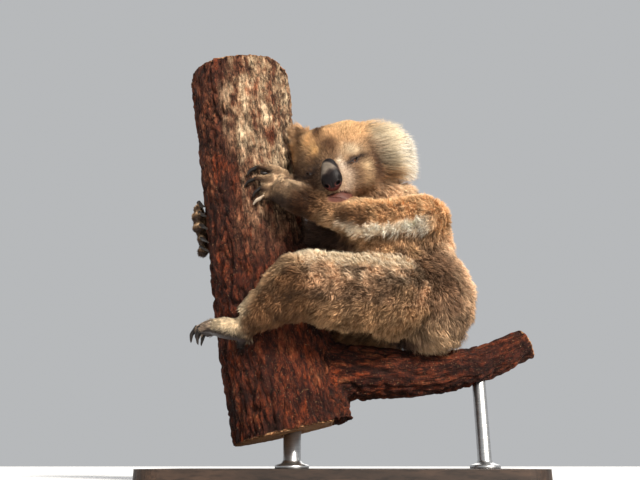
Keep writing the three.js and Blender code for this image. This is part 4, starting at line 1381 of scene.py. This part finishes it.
            # painted shade between the clumps: tufts that stand higher are lighter, sunk ones darker
            tone += (0.0 if is_ear else 0.05 if is_head else 0.10 + 0.20 * woolly) * relief
            tone = np.clip(tone, 0.45, 1.4)[:, None]
            shades = shade_tufts(steps, at(under_colour), at(coat_colour), tone, is_ear, sleek)
            kinds.append([values[keep] for values in (path, side, normal, widths, shades)])
            roots.append(root[keep])
        uv = patch_places(unwrap(piece, np.vstack(roots)))
        ob = build_tufts(piece, kinds, uv, silky if is_ear else woolly_fur)
        print(piece, "tufts", len(uv), "triangles", len(ob.data.polygons))
        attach(ob, "root")


# ---------------------------------------------------------------- nose, eyes and claws


def dress_nose():
    rows, sides = 120, 144
    d = ball(rows, sides, 0.01)
    start = np.array([0, -85.5, -27.0]) + d[:, 2:3] * (0, 1.5, 10.0)
    near, far = np.zeros(len(d)), np.full(len(d), 45.0)
    for _ in range(22):
        mid = (near + far) / 2
        inside = nose_field(start + d * mid[:, None]) < 0
        near, far = np.where(inside, mid, near), np.where(inside, far, mid)
    p = start + d * near[:, None]
    x, y, z = p.T
    front = smooth(-84, -90, y)
    hole = np.zeros(len(p))
    rim = np.zeros(len(p))
    for s in (1, -1):
        u, w = s * x - 9.4, z + 48.0
        u, w = u * 0.82 + w * 0.57, -u * 0.57 + w * 0.82  # slanted, opening outwards and up
        ring = np.hypot(u / 4.6, w / 2.4)
        hole = np.maximum(hole, smooth(1.0, 0.35, ring))
        rim = np.maximum(rim, np.exp(-((ring - 1.22) / 0.24) ** 2))
        tail = np.exp(-((s * x - 14.2) / 2.0) ** 2 - ((z + 41.5) / 4.0) ** 2)
        hole = np.maximum(hole, 0.55 * tail)
    groove = np.exp(-(x / 1.0) ** 2) * smooth(-41, -47, z)
    p[:, 1] += front * (4.5 * hole - 0.6 * rim + 0.9 * groove)
    p[:, 1] += front * 0.5 * np.exp(-(x / 7) ** 2) * smooth(-34, -20, z)  # the pad is a little dished
    nose = mesh_object("nose_pad", from_head(p), closed_faces(rows, sides), make_nose_leather())
    x, y, z = p.T
    upper = smooth(-32, -21, z - 0.35 * x + 3.0 * noise(p, 8, 80) + 1.2 * noise(p, 3, 81))
    # painted shadow along the pad's top edge and where it meets the fur
    edge = np.maximum(smooth(-10.5, -5.5, z + 0.5 * x + 0.16 * x ** 2 * 0.3),
                      smooth(-81.5, -79.0, y) * smooth(-45, -30, z))
    pinkish = np.clip(rim * smooth(-44, -50, z) + 0.9 * smooth(-51.5, -54.5, z), 0, 1) * 0.7
    # the nostrils are near black: painted shade inside them
    colour = layers((0.05, 0.02, 0.02), ((0.40, 0.36, 0.32), upper), ((0.07, 0.05, 0.055), edge),
                    ((0.42, 0.18, 0.15), pinkish)) * (1 - 0.85 * hole[:, None])
    put_colour(nose, "Coat", lin(np.clip(colour, 0, 1)))
    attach(nose, "root")
    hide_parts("nose")


def dress_eyes():
    glass = make_eye_glass()
    rows, sides = 48, 64
    d = ball(rows, sides, 0.02)
    front = d[:, 2] > 0
    across = d[:, 0] ** 2 + d[:, 1] ** 2
    cornea = 0.35 * smooth(0.5, 0.0, across) * front
    iris = smooth(0.72, 0.62, np.sqrt(across)) * front
    pupil = (smooth(0.16, 0.10, np.hypot(d[:, 0], d[:, 1] * 0.35)) * front)[:, None]
    colour = layers((0.30, 0.22, 0.18), ((0.30, 0.17, 0.09), iris))
    for name, side in (("left", 1), ("right", -1)):
        out = EYE_FACING[side]
        side_way = unit(np.cross(out, (0, 0, 1.0)))
        turned = d[:, :1] * side_way + d[:, 1:2] * np.cross(side_way, out) + d[:, 2:] * out
        local = EYE_PLACE[side] + turned * ((EYE_RADIUS - 0.35) + cornea)[:, None]
        eye = mesh_object(f"eyeball_{name}", from_head(local), closed_faces(rows, sides), glass)
        put_colour(eye, "Coat", lin(colour * (1 - 0.95 * pupil)))
        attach(eye, "root")
        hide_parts(f"eye_{name}")


def dress_claws(skin_tree):
    """Each paw's claws: curved cones along the CAD claws, rooted in the toes."""
    horn = make_claw_horn()
    rings, sides = 20, 16
    s = np.linspace(0, 1, rings)
    radius = (0.0032 * np.clip(1 - s ** 1.7, 0, 1) ** 0.7 + 0.0002)[:, None, None]
    turn = turns(sides)[None, :, None]
    fade = np.concatenate([np.repeat(s, sides), [1.0, 0.0]])
    i, j, last = np.arange(sides), (np.arange(sides) + 1) % sides, (rings - 1) * sides
    faces = []
    for k in range(0, last, sides):
        faces += [k + np.stack([i, j, j + sides], 1), k + np.stack([i, j + sides, i + sides], 1)]
    tip_point = i * 0 + last + sides
    faces += [np.stack([last + i, last + j, tip_point], 1), np.stack([j, i, tip_point + 1], 1)]
    faces = np.vstack(faces)
    for paw in ("claw_fore_left", "claw_fore_right", "claw_hind_left", "claw_hind_right"):
        members = sorted(n for n in nodes if n.startswith(paw))
        vs, tones = [], []
        for name in members:
            v, _ = arrays(nodes[name])
            away = nearest(skin_tree, v)[0]
            tip = v[away.argmax()]
            root = v[away < np.percentile(away, 35)].mean(0)
            order = norm(v - tip)
            steps = [tip]
            for share in (0.22, 0.42, 0.62, 0.85):
                near = np.abs(order - share * order.max()) < 0.17 * order.max()
                steps.append(v[near].mean(0) if near.any() else tip + (root - tip) * share)
            steps.append(steps[-1] + unit(steps[-1] - steps[-3]) * 0.008)
            path, along = np.array(steps[::-1]), np.linspace(0, 1, len(steps))
            centre = np.stack([np.interp(s, along, path[:, k]) for k in range(3)], 1)
            for _ in range(9):
                centre[1:-1] = (centre[:-2] + centre[2:] + 2 * centre[1:-1]) / 4
            tangent = unit(np.gradient(centre, axis=0))
            flat = unit(np.cross(tangent, unit(centre[0] + centre[-1] - 2 * centre[10] + 1e-6)))
            tall = np.cross(flat, tangent)
            round_it = np.cos(turn) * flat[:, None] * 0.78 + np.sin(turn) * tall[:, None] * 1.1
            ends = centre[-1] + tangent[-1] * 0.0006, centre[0] - tangent[0] * 0.002
            vs.append(np.vstack([(centre[:, None] + radius * round_it).reshape(-1, 3), *ends]))
            low, high = (0.06, 0.045, 0.04), (0.15, 0.12, 0.10)
            if name == "claw_fore_left_5":  # the one pale claw
                low, high = (0.62, 0.54, 0.46), (0.80, 0.74, 0.66)
            tones.append(layers(low, (high, fade)))
        all_faces = np.vstack([faces + k * len(vs[0]) for k in range(len(vs))])
        ob = mesh_object(paw + "_horn", np.vstack(vs), all_faces, horn)
        put_colour(ob, "Coat", lin(np.vstack(tones)))
        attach(ob, "root")
        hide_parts(*members)


# ---------------------------------------------------------------- all of it

add_floor()
dress_stand()
perch_tree = dress_perch()
v, t, weights = build_skin()
on_head = weights[:, FLESH.index("head")] / weights.sum(1)
v, bare, tint = model_face(v, t, on_head)
e = edges(t)
n = normals(v, t)
coat_colour, under_colour = coat_colours_and_painted_light(v, n, weights)
sole = weights[:, [region_of(f) == "foot" for f in FLESH]].sum(1) * smooth(-0.7, -0.9, n[:, 2])
bare = np.maximum(bare, sole)
under_colour = layers(under_colour, ((0.24, 0.20, 0.19), sole), (tint[:, :3], tint[:, 3]))
skin = mesh_object("skin", v, t, make_skin())
put_colour(skin, "Coat", lin(under_colour))
put(skin, "Bare", "FLOAT", "value", bare)
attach(skin, "root")
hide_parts(*FLESH)
dress_nose()
dress_eyes()
dress_claws(bvh(v, t))
grow_coat(v, t, n, weights, bare, perch_tree, coat_colour, under_colour, e)
